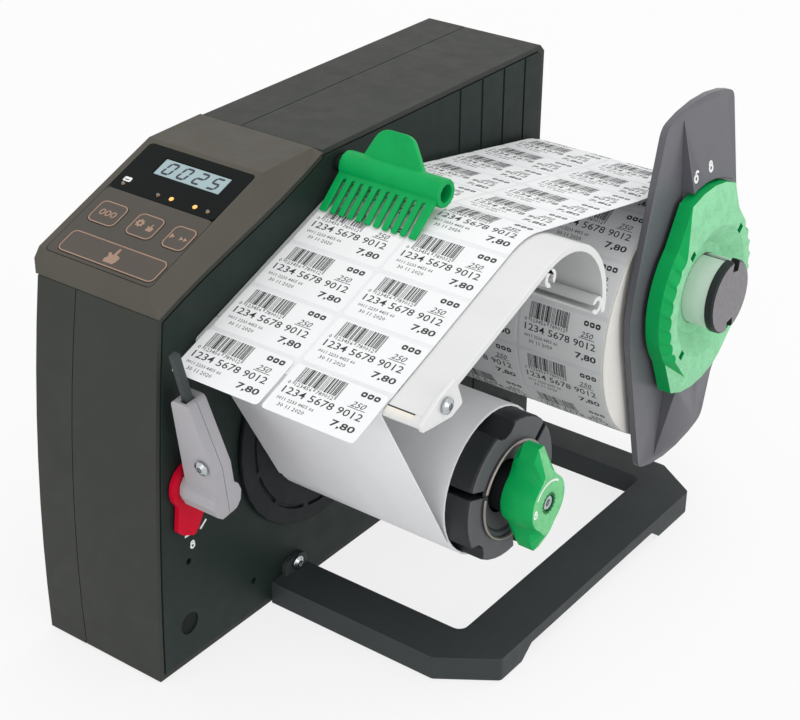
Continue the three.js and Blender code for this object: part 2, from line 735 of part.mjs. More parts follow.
function sideOutline(bulge) {
  const bend = (FRONT_FOOT + SHOULDER_Y) / 2 - FRONT_BOW - 2 * bulge;
  const bendZ = SHOULDER_Z * FRONT_CURVE_HEIGHT_SHARE;
  const front = curve([[FRONT_FOOT, GROUND_GAP], [bend, bendZ], [SHOULDER_Y, SHOULDER_Z]]);
  const top = [[CREST_Y, HOUSING_HEIGHT], [HOUSING_BACK - BACK_CORNER, HOUSING_HEIGHT]];
  const back = [[HOUSING_BACK, HOUSING_HEIGHT - BACK_CORNER], [HOUSING_BACK, GROUND_GAP]];
  return [...front.slice(0, -1), ...shoulderCurve(), ...top, ...back];
}

function grooves() {
  return Array.from({ length: GROOVE_COUNT }, (_, i) => {
    const y = GROOVE_FIRST_Y + i * GROOVE_PITCH;
    const outline = box2(y - GROOVE_WIDTH / 2, y + GROOVE_WIDTH / 2, GROOVE_FOOT_Z, HOUSING_HEIGHT + OVERRUN);
    return prismX(outline, -GROOVE_DEPTH, OVERRUN);
  });
}

function sidePlate() {
  const slab = prismX(inset(sideOutline(0), COVER_WALL + GAP), -PLATE_THICKNESS, 0);
  const bossBack = -PLATE_THICKNESS - BEARING_WIDTH + BEARING_WALL;
  const boss = rodX(REWINDER_Y, REWINDER_Z, BEARING_RADIUS + BEARING_WALL, bossBack, -PLATE_THICKNESS / 2);
  const through = (y, z, radius) => rodX(y, z, radius, -PLATE_THICKNESS - OVERRUN, OVERRUN);
  const lugHoleEnd = LUG_THICKNESS - SHANK_LENGTH - OVERRUN;
  const lugHole = (y) => rodX(y, LUG_SCREW_Z, SHANK_RADIUS + GAP, lugHoleEnd, OVERRUN);
  return cut(
    join(slab, boss),
    ...grooves(),
    rodX(REWINDER_Y, REWINDER_Z, SPINDLE_RADIUS + GAP, bossBack - OVERRUN, OVERRUN),
    rodX(REWINDER_Y, REWINDER_Z, BEARING_RADIUS + GAP, bossBack - OVERRUN, bossBack + BEARING_WIDTH),
    through(COMB_Y, COMB_Z, ROD_RADIUS + GAP),
    through(SENSOR_Y, SENSOR_Z, PIVOT_RADIUS + GAP),
    rodX(...PLUG_PLACE, PLUG_RADIUS, -PLUG_DEPTH, OVERRUN),
    ...SCREW_HOLE_PLACES.map(([y, z]) => rodX(y, z, SCREW_HOLE_RADIUS, -SCREW_HOLE_DEPTH, OVERRUN)),
    ...lugPlaces().map(lugHole),
  );
}

function leftCover() {
  const outline = sideOutline(FRONT_BULGE * BULGE_EDGE_SHARE);
  const seam = COVER_X - GAP / 2;
  const shell = loft([
    { at: -HOUSING_WIDTH, outline: inset(outline, COVER_EDGE) },
    { at: -HOUSING_WIDTH + COVER_EDGE, outline },
    { at: seam, outline: sideOutline(FRONT_BULGE) },
  ], ALONG_X);
  const cavity = prismX(inset(sideOutline(0), COVER_WALL), -HOUSING_WIDTH + COVER_WALL, seam + OVERRUN);
  const postFoot = -HOUSING_WIDTH + COVER_WALL / 2;
  const post = ([y, z]) => rodX(y, z, BOARD_POST_RADIUS, postFoot, MAIN_BOARD_X - GAP);
  const posts = mainBoardCorners().map(post);
  return cut(join(cut(shell, cavity), ...posts), ...housingPadPlaces().map(padRecess));
}

function mainCover() {
  const seam = COVER_X + GAP / 2;
  const end = -COVER_RIM_STEP;
  const shell = loft([
    { at: seam, outline: sideOutline(FRONT_BULGE) },
    { at: RIDGE_X, outline: sideOutline(FRONT_BULGE) },
    { at: end, outline: sideOutline(0) },
  ], ALONG_X);
  const cavity = prismX(inset(sideOutline(0), COVER_WALL), seam - OVERRUN, end + OVERRUN);
  const inletHole = prismY(
    box2(INLET_LEFT - GAP, INLET_LEFT + INLET_WIDTH + GAP, INLET_FOOT - GAP, INLET_FOOT + INLET_HEIGHT + GAP),
    HOUSING_BACK - COVER_WALL - OVERRUN, HOUSING_BACK + OVERRUN,
  );
  return cut(shell, cavity, inletHole);
}

// Mains inlet and switch

function inletBody() {
  const right = INLET_LEFT + INLET_WIDTH;
  const top = INLET_FOOT + INLET_HEIGHT;
  const middle = INLET_LEFT + INLET_WIDTH / 2;
  const face = HOUSING_BACK + GAP + INLET_FLANGE;
  const rim = box2(
    INLET_LEFT - INLET_MARGIN, right + INLET_MARGIN, INLET_FOOT - INLET_MARGIN, top + INLET_MARGIN,
  );
  const flange = prismY(rounded(rim, INLET_CORNER), HOUSING_BACK + GAP, face);
  const [bodyBack, bodyFace] = [HOUSING_BACK - INLET_DEPTH, HOUSING_BACK + INLET_FLANGE];
  const body = prismY(box2(INLET_LEFT, right, INLET_FOOT, top), bodyBack, bodyFace);
  const socketZ = INLET_FOOT + SOCKET_RISE;
  const [w, h] = [SOCKET_WIDTH / 2, SOCKET_HEIGHT / 2];
  const socket = prismY([
    [middle - w, socketZ - h], [middle + w, socketZ - h], [middle + w, socketZ + h - SOCKET_CHAMFER],
    [middle + w - SOCKET_CHAMFER, socketZ + h], [middle - w + SOCKET_CHAMFER, socketZ + h],
    [middle - w, socketZ + h - SOCKET_CHAMFER],
  ], face - SOCKET_DEPTH, face + OVERRUN);
  const pins = [-1, 0, 1].map((place) => {
    const x = middle + place * PIN_PITCH;
    const z = socketZ + (place === 0 ? PIN_WIDTH : -PIN_WIDTH);
    const outline = box2(x - PIN_WIDTH / 2, x + PIN_WIDTH / 2, z - PIN_HEIGHT / 2, z + PIN_HEIGHT / 2);
    return prismY(outline, face - SOCKET_DEPTH - OVERRUN, face - PIN_RECESS);
  });
  const rockerZ = INLET_FOOT + ROCKER_RISE;
  const room = 2 * GAP;
  const well = prismY(
    box2(
      middle - ROCKER_WIDTH / 2 - GAP, middle + ROCKER_WIDTH / 2 + GAP,
      rockerZ - ROCKER_HEIGHT / 2 - room, rockerZ + ROCKER_HEIGHT / 2 + room,
    ),
    face - ROCKER_WELL, face + OVERRUN,
  );
  return join(cut(join(flange, body), socket, well), ...pins);
}

function rocker() {
  const half = ROCKER_HEIGHT / 2;
  const profile = [
    [-ROCKER_DEPTH, 0], [-ROCKER_DEPTH / 2, -half * ROCKER_TAPER_SHARE], [ROCKER_PROUD, -half],
    [ROCKER_PROUD / 2, 0], [ROCKER_PROUD, half], [-ROCKER_DEPTH / 2, half * ROCKER_TAPER_SHARE],
  ];
  const middle = INLET_LEFT + INLET_WIDTH / 2;
  return prismX(profile, middle - ROCKER_WIDTH / 2, middle + ROCKER_WIDTH / 2);
}

// Control panel

function seatAt(y) {
  const seat = shoulderCurve();
  const i = seat.findIndex(([next]) => next >= y);
  const [[y0, z0], [y1, z1]] = [seat[i - 1], seat[i]];
  return z0 + ((y - y0) / (y1 - y0)) * (z1 - z0);
}

function panelTopAt(y) {
  const ridge = PANEL_FOOT_Z + PANEL_SLOPE * PANEL_RIDGE_Y;
  if (y <= PANEL_RIDGE_Y) return PANEL_FOOT_Z + PANEL_SLOPE * y;
  return ridge + ((y - PANEL_RIDGE_Y) / (CREST_Y - PANEL_RIDGE_Y)) * (HOUSING_HEIGHT - ridge);
}

function panelShell() {
  const section = (y, top) => {
    const under = seatAt(y) + GAP;
    const sides = [[-HOUSING_WIDTH, under], [0, under], [0, under + GAP]];
    return { at: -y, outline: [...sides, [-PLATE_THICKNESS, top], [-HOUSING_WIDTH, top]] };
  };
  const nose = SHOULDER_Y + GAP;
  const slope = shoulderCurve().map(([y]) => y).filter((y) => y > nose + PANEL_CHAMFER && y < CREST_Y - GAP);
  const stations = [nose + PANEL_CHAMFER, ...slope, PANEL_RIDGE_Y, CREST_Y - GAP].sort((a, b) => a - b);
  const first = section(nose, seatAt(nose) + PANEL_NOSE_HEIGHT);
  return loft([first, ...stations.map((y) => section(y, panelTopAt(y)))], ALONG_BACK);
}

function keyOutline({ edges, start, length }, margin) {
  const [left, right] = edges;
  const corners = box2(left - margin, right + margin, start - margin, start + length + margin);
  return rounded(corners, KEY_CORNER + margin);
}

function lcdOutline(margin) {
  return box2(LCD_LEFT - margin, LCD_RIGHT + margin, LCD_START - margin, LCD_START + LCD_LENGTH + margin);
}

function windowEdges() {
  return [FOIL_END + GAP, FOIL_END + GAP + WINDOW_LENGTH];
}

function boardEdges() {
  const [, end] = windowEdges();
  return [FOIL_LEFT + BOARD_MARGIN, FOIL_RIGHT - BOARD_MARGIN, FOIL_START + BOARD_MARGIN, end - BOARD_MARGIN];
}

function panelCap(panel) {
  const inPanel = (tool) => tool.applyMatrix4(panel.matrix);
  const [, end] = windowEdges();
  const recess = rounded(box2(FOIL_LEFT - GAP, FOIL_RIGHT + GAP, FOIL_START - GAP, end + GAP), FOIL_CORNER);
  const hollow = box2(-HOUSING_WIDTH + PANEL_WALL, -PLATE_THICKNESS - PANEL_WALL, FOIL_START, end);
  const [left, right, front, back] = boardEdges();
  const postPlaces = [[left, front], [right, front], [left, back], [right, back]];
  const post = ([x, y]) => {
    const outline = circle(x + Math.sign(-HOUSING_WIDTH / 2 - x) * BOARD_MARGIN, y, PANEL_POST_RADIUS);
    return inPanel(prismZ(outline, -PANEL_WALL - BOARD_DROP + GAP, -PANEL_WALL + GAP));
  };
  const light = (x) => prismZ(circle(x, LIGHT_ROW, LIGHT_RADIUS + GAP), -PANEL_WALL - OVERRUN, OVERRUN);
  const lights = LIGHT_PLACES.map(light).map(inPanel);
  const shell = cut(
    panelShell(),
    inPanel(prismZ(recess, -FOIL_DEPTH, OVERRUN)),
    inPanel(prismZ(hollow, -HOUSING_WIDTH, -PANEL_WALL)),
  );
  return cut(
    join(shell, ...postPlaces.map(post)),
    inPanel(prismZ(lcdOutline(GAP), -PANEL_WALL - OVERRUN, OVERRUN)),
    ...lights,
  );
}

function buildPanel() {
  const panel = subGroup(machine, 0, PANEL_FOOT_Z, PANEL_ANGLE);
  const keyRow = KEY_EDGES.map((edges) => ({ edges, start: KEY_ROW_START, length: KEY_ROW_LENGTH }));
  const startKey = { edges: START_KEY_EDGES, start: START_KEY_START, length: START_KEY_LENGTH };
  const keys = [...keyRow, startKey];
  const names = ["key_clear", "key_mode", "key_jog", "key_start"];
  const [windowFront, windowBack] = windowEdges();
  const foil = rounded(box2(FOIL_LEFT, FOIL_RIGHT, FOIL_START, FOIL_END), FOIL_CORNER);
  const pane = rounded(box2(FOIL_LEFT, FOIL_RIGHT, windowFront, windowBack), FOIL_CORNER);
  const floor = -FOIL_THICKNESS;
  const peg = (margin) => (x) => circle(x, LIGHT_ROW, LIGHT_RADIUS + margin);
  const lcdTop = -LCD_RECESS;
  const [left, right, front, back] = boardEdges();
  const boardTop = -PANEL_WALL - BOARD_DROP;
  const barTop = -PANEL_WALL - GAP;
  const [firstLight, lastLight] = [LIGHT_PLACES[0], LIGHT_PLACES.at(-1)];
  const bar = box2(
    firstLight - LIGHT_RADIUS, lastLight + LIGHT_RADIUS, LIGHT_ROW - LIGHT_RADIUS, LIGHT_ROW + LIGHT_RADIUS,
  );
  const pegFoot = barTop - LIGHT_BAR_HEIGHT / 2;
  const pegs = LIGHT_PLACES.map(peg(0)).map((outline) => prismZ(outline, pegFoot, -GAP));

  piece(machine, "control_panel", panelCap(panel), PANEL_PLASTIC);
  piece(panel, "keypad_foil", prismZ(foil, floor, 0, keys.map((key) => keyOutline(key, GAP))), FOIL_PLASTIC);
  const paneHoles = [lcdOutline(0), ...LIGHT_PLACES.map(peg(GAP))];
  piece(panel, "display_window", prismZ(pane, floor, 0, paneHoles), WINDOW_GLOSS);
  piece(panel, "lcd_glass", prismZ(lcdOutline(-GAP), lcdTop - LCD_THICKNESS, lcdTop), LCD_GLASS);
  piece(panel, "light_guide", join(prismZ(bar, barTop - LIGHT_BAR_HEIGHT, barTop), ...pegs), LIGHT_AMBER);
  const board = box2(left, right, front, back);
  piece(panel, "control_board", prismZ(board, boardTop - BOARD_THICKNESS, boardTop), BOARD_GREEN);
  keys.forEach((key, i) => {
    const cap = prismZ(keyOutline(key, 0), KEY_RISE - KEY_THICKNESS, KEY_RISE);
    piece(panel, names[i], cap, KEY_PLASTIC);
  });
}

// Housing assembly with the drive of the rewinder

function mainBoardCorners() {
  const [front, back] = [MAIN_BOARD_FRONT + MAIN_BOARD_INSET, MAIN_BOARD_BACK - MAIN_BOARD_INSET];
  const [foot, top] = [MAIN_BOARD_FOOT + MAIN_BOARD_INSET, MAIN_BOARD_TOP - MAIN_BOARD_INSET];
  return [[front, foot], [back, foot], [front, top], [back, top]];
}

function buildHousing() {
  piece(machine, "side_plate", sidePlate(), PLATE_PAINT);
  piece(machine, "housing_left_cover", leftCover(), COVER_PAINT);
  piece(machine, "housing_main_cover", mainCover(), COVER_PAINT);
  piece(machine, "mains_inlet", inletBody(), BLACK_RUBBER);
  const rockerY = HOUSING_BACK + INLET_FLANGE - ROCKER_PROUD / 2;
  const switchGroup = subGroup(machine, rockerY, INLET_FOOT + ROCKER_RISE, ROCKER_TILT);
  piece(switchGroup, "power_switch", rocker(), RED_PLASTIC);
  const board = box2(MAIN_BOARD_FRONT, MAIN_BOARD_BACK, MAIN_BOARD_FOOT, MAIN_BOARD_TOP);
  piece(machine, "main_board", prismX(board, MAIN_BOARD_X, MAIN_BOARD_X + BOARD_THICKNESS), BOARD_GREEN);
}

function innerFrame() {
  const sheetBody = prismX(
    rounded(box2(FRAME_FRONT, FRAME_BACK, FRAME_FOOT, FRAME_TOP), FRAME_CORNER),
    FRAME_X, FRAME_X + FRAME_THICKNESS,
    [
      circle(REWINDER_Y, REWINDER_Z, SPINDLE_RADIUS + GAP),
      circle(MOTOR_Y, MOTOR_Z, MOTOR_PILOT_RADIUS + GAP),
    ],
  );
  const ys = [FRAME_FRONT + STANDOFF_INSET, FRAME_BACK - STANDOFF_INSET];
  const zs = [FRAME_FOOT + STANDOFF_INSET, FRAME_TOP - STANDOFF_INSET];
  const start = FRAME_X + FRAME_THICKNESS / 2;
  const standoff = (y, z) => rodX(y, z, STANDOFF_RADIUS, start, -PLATE_THICKNESS - GAP);
  const standoffs = ys.flatMap((y) => zs.map((z) => standoff(y, z)));
  return join(sheetBody, ...standoffs);
}

function pulleyRim(radius) {
  const end = PULLEY_X + PULLEY_WIDTH;
  const flange = radius + PULLEY_FLANGE;
  return [
    [PULLEY_X, flange], [PULLEY_X + PULLEY_FLANGE_WIDTH, flange], [PULLEY_X + PULLEY_FLANGE_WIDTH, radius],
    [end - PULLEY_FLANGE_WIDTH, radius], [end - PULLEY_FLANGE_WIDTH, flange], [end, flange],
  ];
}

function largePulley() {
  const end = PULLEY_X + PULLEY_WIDTH;
  const bore = SPINDLE_RADIUS + GAP;
  const hub = SPINDLE_RADIUS + PULLEY_RIM;
  const rim = PULLEY_RADIUS - PULLEY_RIM;
  const side = (PULLEY_WIDTH - PULLEY_WEB) / 2;
  const profile = [
    [PULLEY_X, bore], [PULLEY_X, hub], [PULLEY_X + side, hub], [PULLEY_X + side, rim], [PULLEY_X, rim],
    ...pulleyRim(PULLEY_RADIUS), [end, rim], [end - side, rim], [end - side, hub], [end, hub], [end, bore],
  ];
  return turned(profile, PULLEY_STEPS);
}

function driveBelt() {
  const motorPlace = [MOTOR_Y - REWINDER_Y, MOTOR_Z - REWINDER_Z];
  const [large, small] = [PULLEY_RADIUS + GAP, MOTOR_PULLEY_RADIUS + GAP];
  const upper = tangentNormal([0, 0], large, motorPlace, small, 1);
  const lower = tangentNormal([0, 0], large, motorPlace, small, -1);
  const loop = (offset) => [
    ...arc(0, 0, large + offset, upper, lower + 360),
    ...arc(...motorPlace, small + offset, lower, upper),
  ];
  const start = PULLEY_X + (PULLEY_WIDTH - BELT_WIDTH) / 2;
  return prismX(loop(BELT_THICKNESS), start, start + BELT_WIDTH, [loop(0)]);
}

function motorBody() {
  const half = MOTOR_SIZE / 2;
  const face = FRAME_X - GAP;
  const body = prismX(rounded(box2(-half, half, -half, half), MOTOR_CORNER), face - MOTOR_LENGTH, face);
  const pilot = rodX(0, 0, MOTOR_PILOT_RADIUS, face - GAP, FRAME_X + FRAME_THICKNESS);
  const bore = rodX(0, 0, MOTOR_SHAFT_RADIUS + GAP, face - MOTOR_SHAFT_DEPTH - GAP, 0);
  return cut(join(body, pilot), bore);
}

function motorRotor() {
  const back = FRAME_X - MOTOR_SHAFT_DEPTH;
  const profile = [
    [back, 0], [back, MOTOR_SHAFT_RADIUS], [PULLEY_X, MOTOR_SHAFT_RADIUS],
    ...pulleyRim(MOTOR_PULLEY_RADIUS), [PULLEY_X + PULLEY_WIDTH, 0],
  ];
  return turned(profile);
}

// Rewinder

function rewinderCore() {
  const bore = SPINDLE_RADIUS + GAP;
  const inner = CORE_TUBE_RADIUS - CORE_TUBE_WALL;
  const discEnd = DISC_START + DISC_THICKNESS;
  const frontWeb = SPINDLE_SHOULDER - GAP - CORE_WEB;
  const face = frontWeb + CORE_WEB;
  const sleeveEnd = SPINDLE_SHOULDER + CORE_SLEEVE_REACH;
  const sleeveBore = KNOB_SPIGOT_RADIUS + GAP;
  const body = turned([
    [DISC_START, bore], [DISC_START, DISC_RADIUS], [discEnd, DISC_RADIUS], [discEnd, CORE_TUBE_RADIUS],
    [CORE_TUBE_END, CORE_TUBE_RADIUS], [CORE_TUBE_END, inner], [face, inner],
    [face, CORE_SLEEVE_RADIUS], [sleeveEnd, CORE_SLEEVE_RADIUS], [sleeveEnd, sleeveBore], [face, sleeveBore],
    [face, bore], [frontWeb, bore], [frontWeb, inner],
    [DISC_START + CORE_WEB, inner], [DISC_START + CORE_WEB, bore],
  ], CORE_STEPS);
  const slots = Array.from({ length: DISC_SLOT_COUNT }, (_, i) => {
    const middle = (360 * i) / DISC_SLOT_COUNT;
    const outline = arcSlot(DISC_SLOT_RADIUS, DISC_SLOT_WIDTH, middle, DISC_SLOT_HALF_ANGLE);
    return prismX(outline, discEnd - DISC_SLOT_DEPTH, discEnd + OVERRUN);
  });
  return cut(body, ...slots);
}

function hubSegment(middle) {
  const start = DISC_START + DISC_THICKNESS + GAP;
  const shell = turned([
    [start, HUB_INNER_RADIUS], [start, HUB_RADIUS], [HUB_END - HUB_CHAMFER, HUB_RADIUS],
    [HUB_END, HUB_RADIUS - HUB_CHAMFER], [HUB_END, HUB_LIP_RADIUS + HUB_LIP_CHAMFER],
    [HUB_END - HUB_LIP_CHAMFER, HUB_LIP_RADIUS], [CORE_TUBE_END + GAP, HUB_LIP_RADIUS],
    [CORE_TUBE_END + GAP, HUB_INNER_RADIUS],
  ]);
  const half = 180 / SEGMENT_COUNT;
  const apex = polar(HUB_SLIT / 2 / Math.sin(half * DEGREE), middle);
  const far = [-half, half].map((side) => polar(SEGMENT_COUNT * HUB_RADIUS, middle + side, ...apex));
  const wedge = prismX([apex, ...far], start - OVERRUN, HUB_END + OVERRUN);
  const notch = rodX(...polar(NOTCH_REACH, middle), NOTCH_RADIUS, HUB_END - NOTCH_LENGTH, HUB_END + OVERRUN);
  return cut(common(shell, wedge), notch);
}

function spindle() {
  const shaft = turned([
    [SPINDLE_BACK, 0], [SPINDLE_BACK, SPINDLE_RADIUS], [SPINDLE_SHOULDER, SPINDLE_RADIUS],
    [SPINDLE_SHOULDER, STUB_RADIUS], [STUB_END, STUB_RADIUS], [STUB_END, 0],
  ]);
  return cut(shaft, rodX(0, 0, SHANK_RADIUS + GAP, STUB_END - 2 * SHANK_LENGTH, STUB_END + OVERRUN));
}

// A round body with two narrow wings opposite each other
function knobOutline(bodyShare, wingShare) {
  return Array.from({ length: KNOB_STEPS }, (_, i) => {
    const turn = (360 * (i + 1 / 2)) / KNOB_STEPS;
    const wing = KNOB_WING * Math.cos(turn * DEGREE) ** KNOB_WING_POWER;
    return polar(bodyShare * KNOB_RADIUS + wingShare * wing, turn + KNOB_ANGLE);
  });
}

function clampKnob() {
  const grip = loft(KNOB_SECTION_SHARES.map(([along, body, wing]) => (
    { at: KNOB_START + along * KNOB_LENGTH, outline: knobOutline(body, wing) }
  )), ALONG_X);
  const spigot = rodX(0, 0, KNOB_SPIGOT_RADIUS, KNOB_SPIGOT_START, (KNOB_START + KNOB_END) / 2);
  const bore = rodX(0, 0, STUB_RADIUS + GAP, KNOB_SPIGOT_START - OVERRUN, STUB_END + GAP);
  const well = rodX(0, 0, KNOB_WELL_RADIUS, KNOB_END - KNOB_WELL_DEPTH, KNOB_END + OVERRUN);
  const screwHole = rodX(0, 0, SHANK_RADIUS + GAP, KNOB_START, KNOB_END);
  return cut(join(grip, spigot), bore, well, screwHole);
}

function retainingSpring() {
  const x = HUB_END + GAP + SPRING_WIRE;
  const wire = Array.from({ length: SPRING_SIDES }, (_, i) => polar(SPRING_WIRE, (360 * i) / SPRING_SIDES));
  return turned(wire.map(([u, v]) => [x + u, SPRING_RADIUS + v]));
}

function buildRewinder() {
  const rewinder = subGroup(machine, REWINDER_Y, REWINDER_Z);
  const motor = subGroup(machine, MOTOR_Y, MOTOR_Z);
  const boss = -PLATE_THICKNESS - BEARING_WIDTH + BEARING_WALL;
  const bearing = ring(SPINDLE_RADIUS + GAP, BEARING_RADIUS, boss, boss + BEARING_WIDTH - GAP);
  piece(rewinder, "rewinder_bearing", bearing, STEEL);
  piece(rewinder, "rewinder_spindle", spindle(), STEEL);
  piece(rewinder, "rewinder_core", rewinderCore(), DARK_PLASTIC);
  for (let i = 0; i < SEGMENT_COUNT; i += 1) {
    const middle = HUB_SLIT_ANGLE + (360 * (i + 1 / 2)) / SEGMENT_COUNT;
    piece(rewinder, `hub_segment_${i + 1}`, hubSegment(middle), DARK_PLASTIC);
  }
  piece(rewinder, "retaining_spring", retainingSpring(), STEEL);
  piece(rewinder, "clamp_knob", clampKnob(), GREEN_PLASTIC);
  const screw = screwX(KNOB_END - KNOB_WELL_DEPTH + GAP, SHANK_LENGTH + KNOB_WELL_DEPTH);
  piece(rewinder, "knob_screw", screw, STEEL);
  piece(rewinder, "wound_liner", ring(HUB_RADIUS + GAP, WOUND_RADIUS, WEB_START, WEB_END), LINER_PAPER);
  piece(rewinder, "rewinder_pulley", largePulley(), DARK_PLASTIC);
  piece(rewinder, "drive_belt", driveBelt(), BLACK_RUBBER);
  piece(machine, "inner_frame", innerFrame(), STEEL);
  piece(motor, "motor", motorBody(), DARK_PLASTIC);
  piece(motor, "motor_pulley", motorRotor(), STEEL);
}

// Dispensing table, web and labels, all in the frame of the table's top

function tableProfile() {
  const start = PEEL_EDGE_LENGTH + GAP;
  const inner = ARCH_RADIUS - TABLE_WALL;
  return [
    [start, -TABLE_WALL], ...arc(...ARCH_PLACE, inner, 90, ARCH_END_ANGLE),
    ...arc(...ARCH_PLACE, ARCH_RADIUS, ARCH_END_ANGLE, 90), [start, 0],
  ];
}

// An open screw channel under the table or the arch; its slot faces away from the wall.
function screwChannel([y, z], slotAngle) {
  const slot = [
    polar(CHANNEL_SLOT / 2, slotAngle - 90, y, z), polar(CHANNEL_SLOT / 2, slotAngle + 90, y, z),
  ];
  const far = slot.map(([u, v]) => polar(2 * CHANNEL_RADIUS, slotAngle, u, v)).reverse();
  return {
    body: prismX(circle(y, z, CHANNEL_RADIUS), GAP, TABLE_END),
    bore: rodX(y, z, CHANNEL_BORE, GAP - OVERRUN, TABLE_END + OVERRUN),
    slot: prismX([...slot, ...far], GAP - OVERRUN, TABLE_END + OVERRUN),
  };
}

function tableBody() {
  const inner = ARCH_RADIUS - TABLE_WALL;
  const reach = inner - CHANNEL_RADIUS + GAP;
  const endAngle = ARCH_END_ANGLE + (CHANNEL_RADIUS / reach) / DEGREE;
  const channels = [
    screwChannel([TABLE_RUN, -TABLE_WALL - CHANNEL_RADIUS + GAP], -90),
    screwChannel(polar(reach, endAngle, ...ARCH_PLACE), endAngle + 180),
  ];
  const profile = prismX(tableProfile(), GAP, TABLE_END);
  const solid = join(profile, ...channels.map(({ body }) => body));
  return cut(solid, ...channels.flatMap(({ bore, slot }) => [bore, slot]));
}

function peelEdge() {
  const nose = arc(...NOSE_PLACE, NOSE_RADIUS, 270, 90);
  return prismX([...nose, [PEEL_EDGE_LENGTH, 0], [PEEL_EDGE_LENGTH, -TABLE_WALL]], GAP, TABLE_END);
}

function edgeBracket() {
  const outline = rounded([
    [BRACKET_FRONT, BRACKET_TOP / 2], [BRACKET_FRONT, -TABLE_WALL / 2],
    [(2 * BRACKET_BACK) / 3, -BRACKET_DROP], [BRACKET_BACK, -BRACKET_DROP], [BRACKET_BACK, BRACKET_TOP],
    [BRACKET_BACK / 2, BRACKET_TOP],
  ], BRACKET_CORNER);
  const hole = circle(BRACKET_SCREW_Y, -BRACKET_SCREW_DROP, SHANK_RADIUS + GAP);
  const start = TABLE_END + GAP;
  return prismX(outline, start, start + BRACKET_THICKNESS, [hole]);
}

function sheet(bends) {
  const side = (offset) => (
    bends.flatMap(({ place, radius, from, to }) => arc(...place, radius + offset, from, to))
  );
  return prismX([...side(0), ...side(WEB_THICKNESS).reverse()], WEB_START, WEB_END);
}

function buildTable() {
  const table = subGroup(machine, TABLE_FRONT_Y, TABLE_FRONT_Z, TABLE_ANGLE);
  const toTable = (y, z) => {
    const place = new THREE.Vector3(0, y, z).applyMatrix4(table.matrix.clone().invert());
    return [place.y, place.z];
  };
  const screwPlace = [BRACKET_SCREW_Y, -BRACKET_SCREW_DROP];
  const screwEnd = TABLE_END + GAP + BRACKET_THICKNESS + GAP;
  const boreStart = screwEnd - SHANK_LENGTH - GAP;
  const screwBore = rodX(...screwPlace, SHANK_RADIUS + GAP, boreStart, TABLE_END + OVERRUN);
  piece(table, "table_profile", cut(tableBody(), screwBore), ALUMINIUM);
  piece(table, "peel_edge", cut(peelEdge(), screwBore), ALUMINIUM);
  piece(table, "edge_bracket", edgeBracket(), ALUMINIUM);
  piece(table, "bracket_screw", screwX(screwEnd).translate(0, ...screwPlace), STEEL);

  const noseWrap = { place: NOSE_PLACE, radius: NOSE_RADIUS + GAP };
  const roll = { place: toTable(SUPPLY_Y, SUPPLY_Z + ROLL_Z), radius: ROLL_RADIUS + GAP };
  const arch = { place: ARCH_PLACE, radius: ARCH_RADIUS + GAP };
  const hub = { place: toTable(REWINDER_Y, REWINDER_Z), radius: WOUND_RADIUS + GAP };
  const down = tangentNormal(arch.place, arch.radius, roll.place, roll.radius, 1);
  const back = tangentNormal(noseWrap.place, noseWrap.radius, hub.place, hub.radius, -1) + 360;
  piece(table, "label_web", sheet([
    { ...noseWrap, from: 90, to: 90 }, { ...arch, from: 90, to: down }, { ...roll, from: down, to: down },
  ]), WHITE_PAPER);
  piece(table, "liner_return", sheet([
    { ...noseWrap, from: 90 + WRAP_START, to: back }, { ...hub, from: back, to: back },
  ]), LINER_PAPER);

  for (let i = 0; i < LABEL_COUNT; i += 1) {
    const left = WEB_START + i * (LABEL_WIDTH + LABEL_SPACING);
    const front = -LABEL_OVERHANG;
    const outline = rounded(box2(left, left + LABEL_WIDTH, front, front + LABEL_LENGTH), LABEL_CORNER);
    const floor = WEB_BACK + GAP;
    piece(table, `label_${i + 1}`, prismZ(outline, floor, floor + LABEL_THICKNESS), WHITE_PAPER);
  }
}

// Supply side

function spun(outline, angle) {
  return outline.map(([u, v]) => polar(Math.hypot(u, v), Math.atan2(v, u) / DEGREE + angle));
}

function supplyShaft() {
  const inner = SHAFT_RADIUS - SHAFT_WALL;
  const tube = turned([
    [GAP, inner], [GAP, SHAFT_FOOT_RADIUS], [SHAFT_FOOT_THICKNESS, SHAFT_FOOT_RADIUS],
    [SHAFT_FOOT_THICKNESS, SHAFT_RADIUS], [SHAFT_LENGTH, SHAFT_RADIUS], [SHAFT_LENGTH, inner],
  ]);
  const half = SHAFT_GROOVE_WIDTH / 2;
  const groove = box2(SHAFT_RADIUS - SHAFT_GROOVE_DEPTH, SHAFT_RADIUS + OVERRUN, -half, half);
  const [start, end] = [ROLL_START + ROLL_WIDTH, SHAFT_LENGTH + OVERRUN];
  const tools = CAP_NOTCH_ANGLES.map((angle) => prismX(spun(groove, angle), start, end));
  return cut(tube, ...tools);
}

function shaftCap() {
  const start = SHAFT_LENGTH + GAP;
  const spigot = SHAFT_RADIUS - SHAFT_WALL - GAP;
  const body = turned([
    [start - CAP_SPIGOT, 0], [start - CAP_SPIGOT, spigot], [start, spigot], [start, CAP_RADIUS],
    [start + CAP_THICKNESS - FOOT_EDGE / 2, CAP_RADIUS],
    [start + CAP_THICKNESS, CAP_RADIUS - FOOT_EDGE / 2], [start + CAP_THICKNESS, 0],
  ]);
  const half = CAP_NOTCH_WIDTH / 2;
  const notch = box2(CAP_RADIUS - CAP_NOTCH_DEPTH, CAP_RADIUS + OVERRUN, -half, half);
  const end = start + CAP_THICKNESS + OVERRUN;
  return cut(body, ...CAP_NOTCH_ANGLES.map((angle) => prismX(spun(notch, angle), start, end)));
}

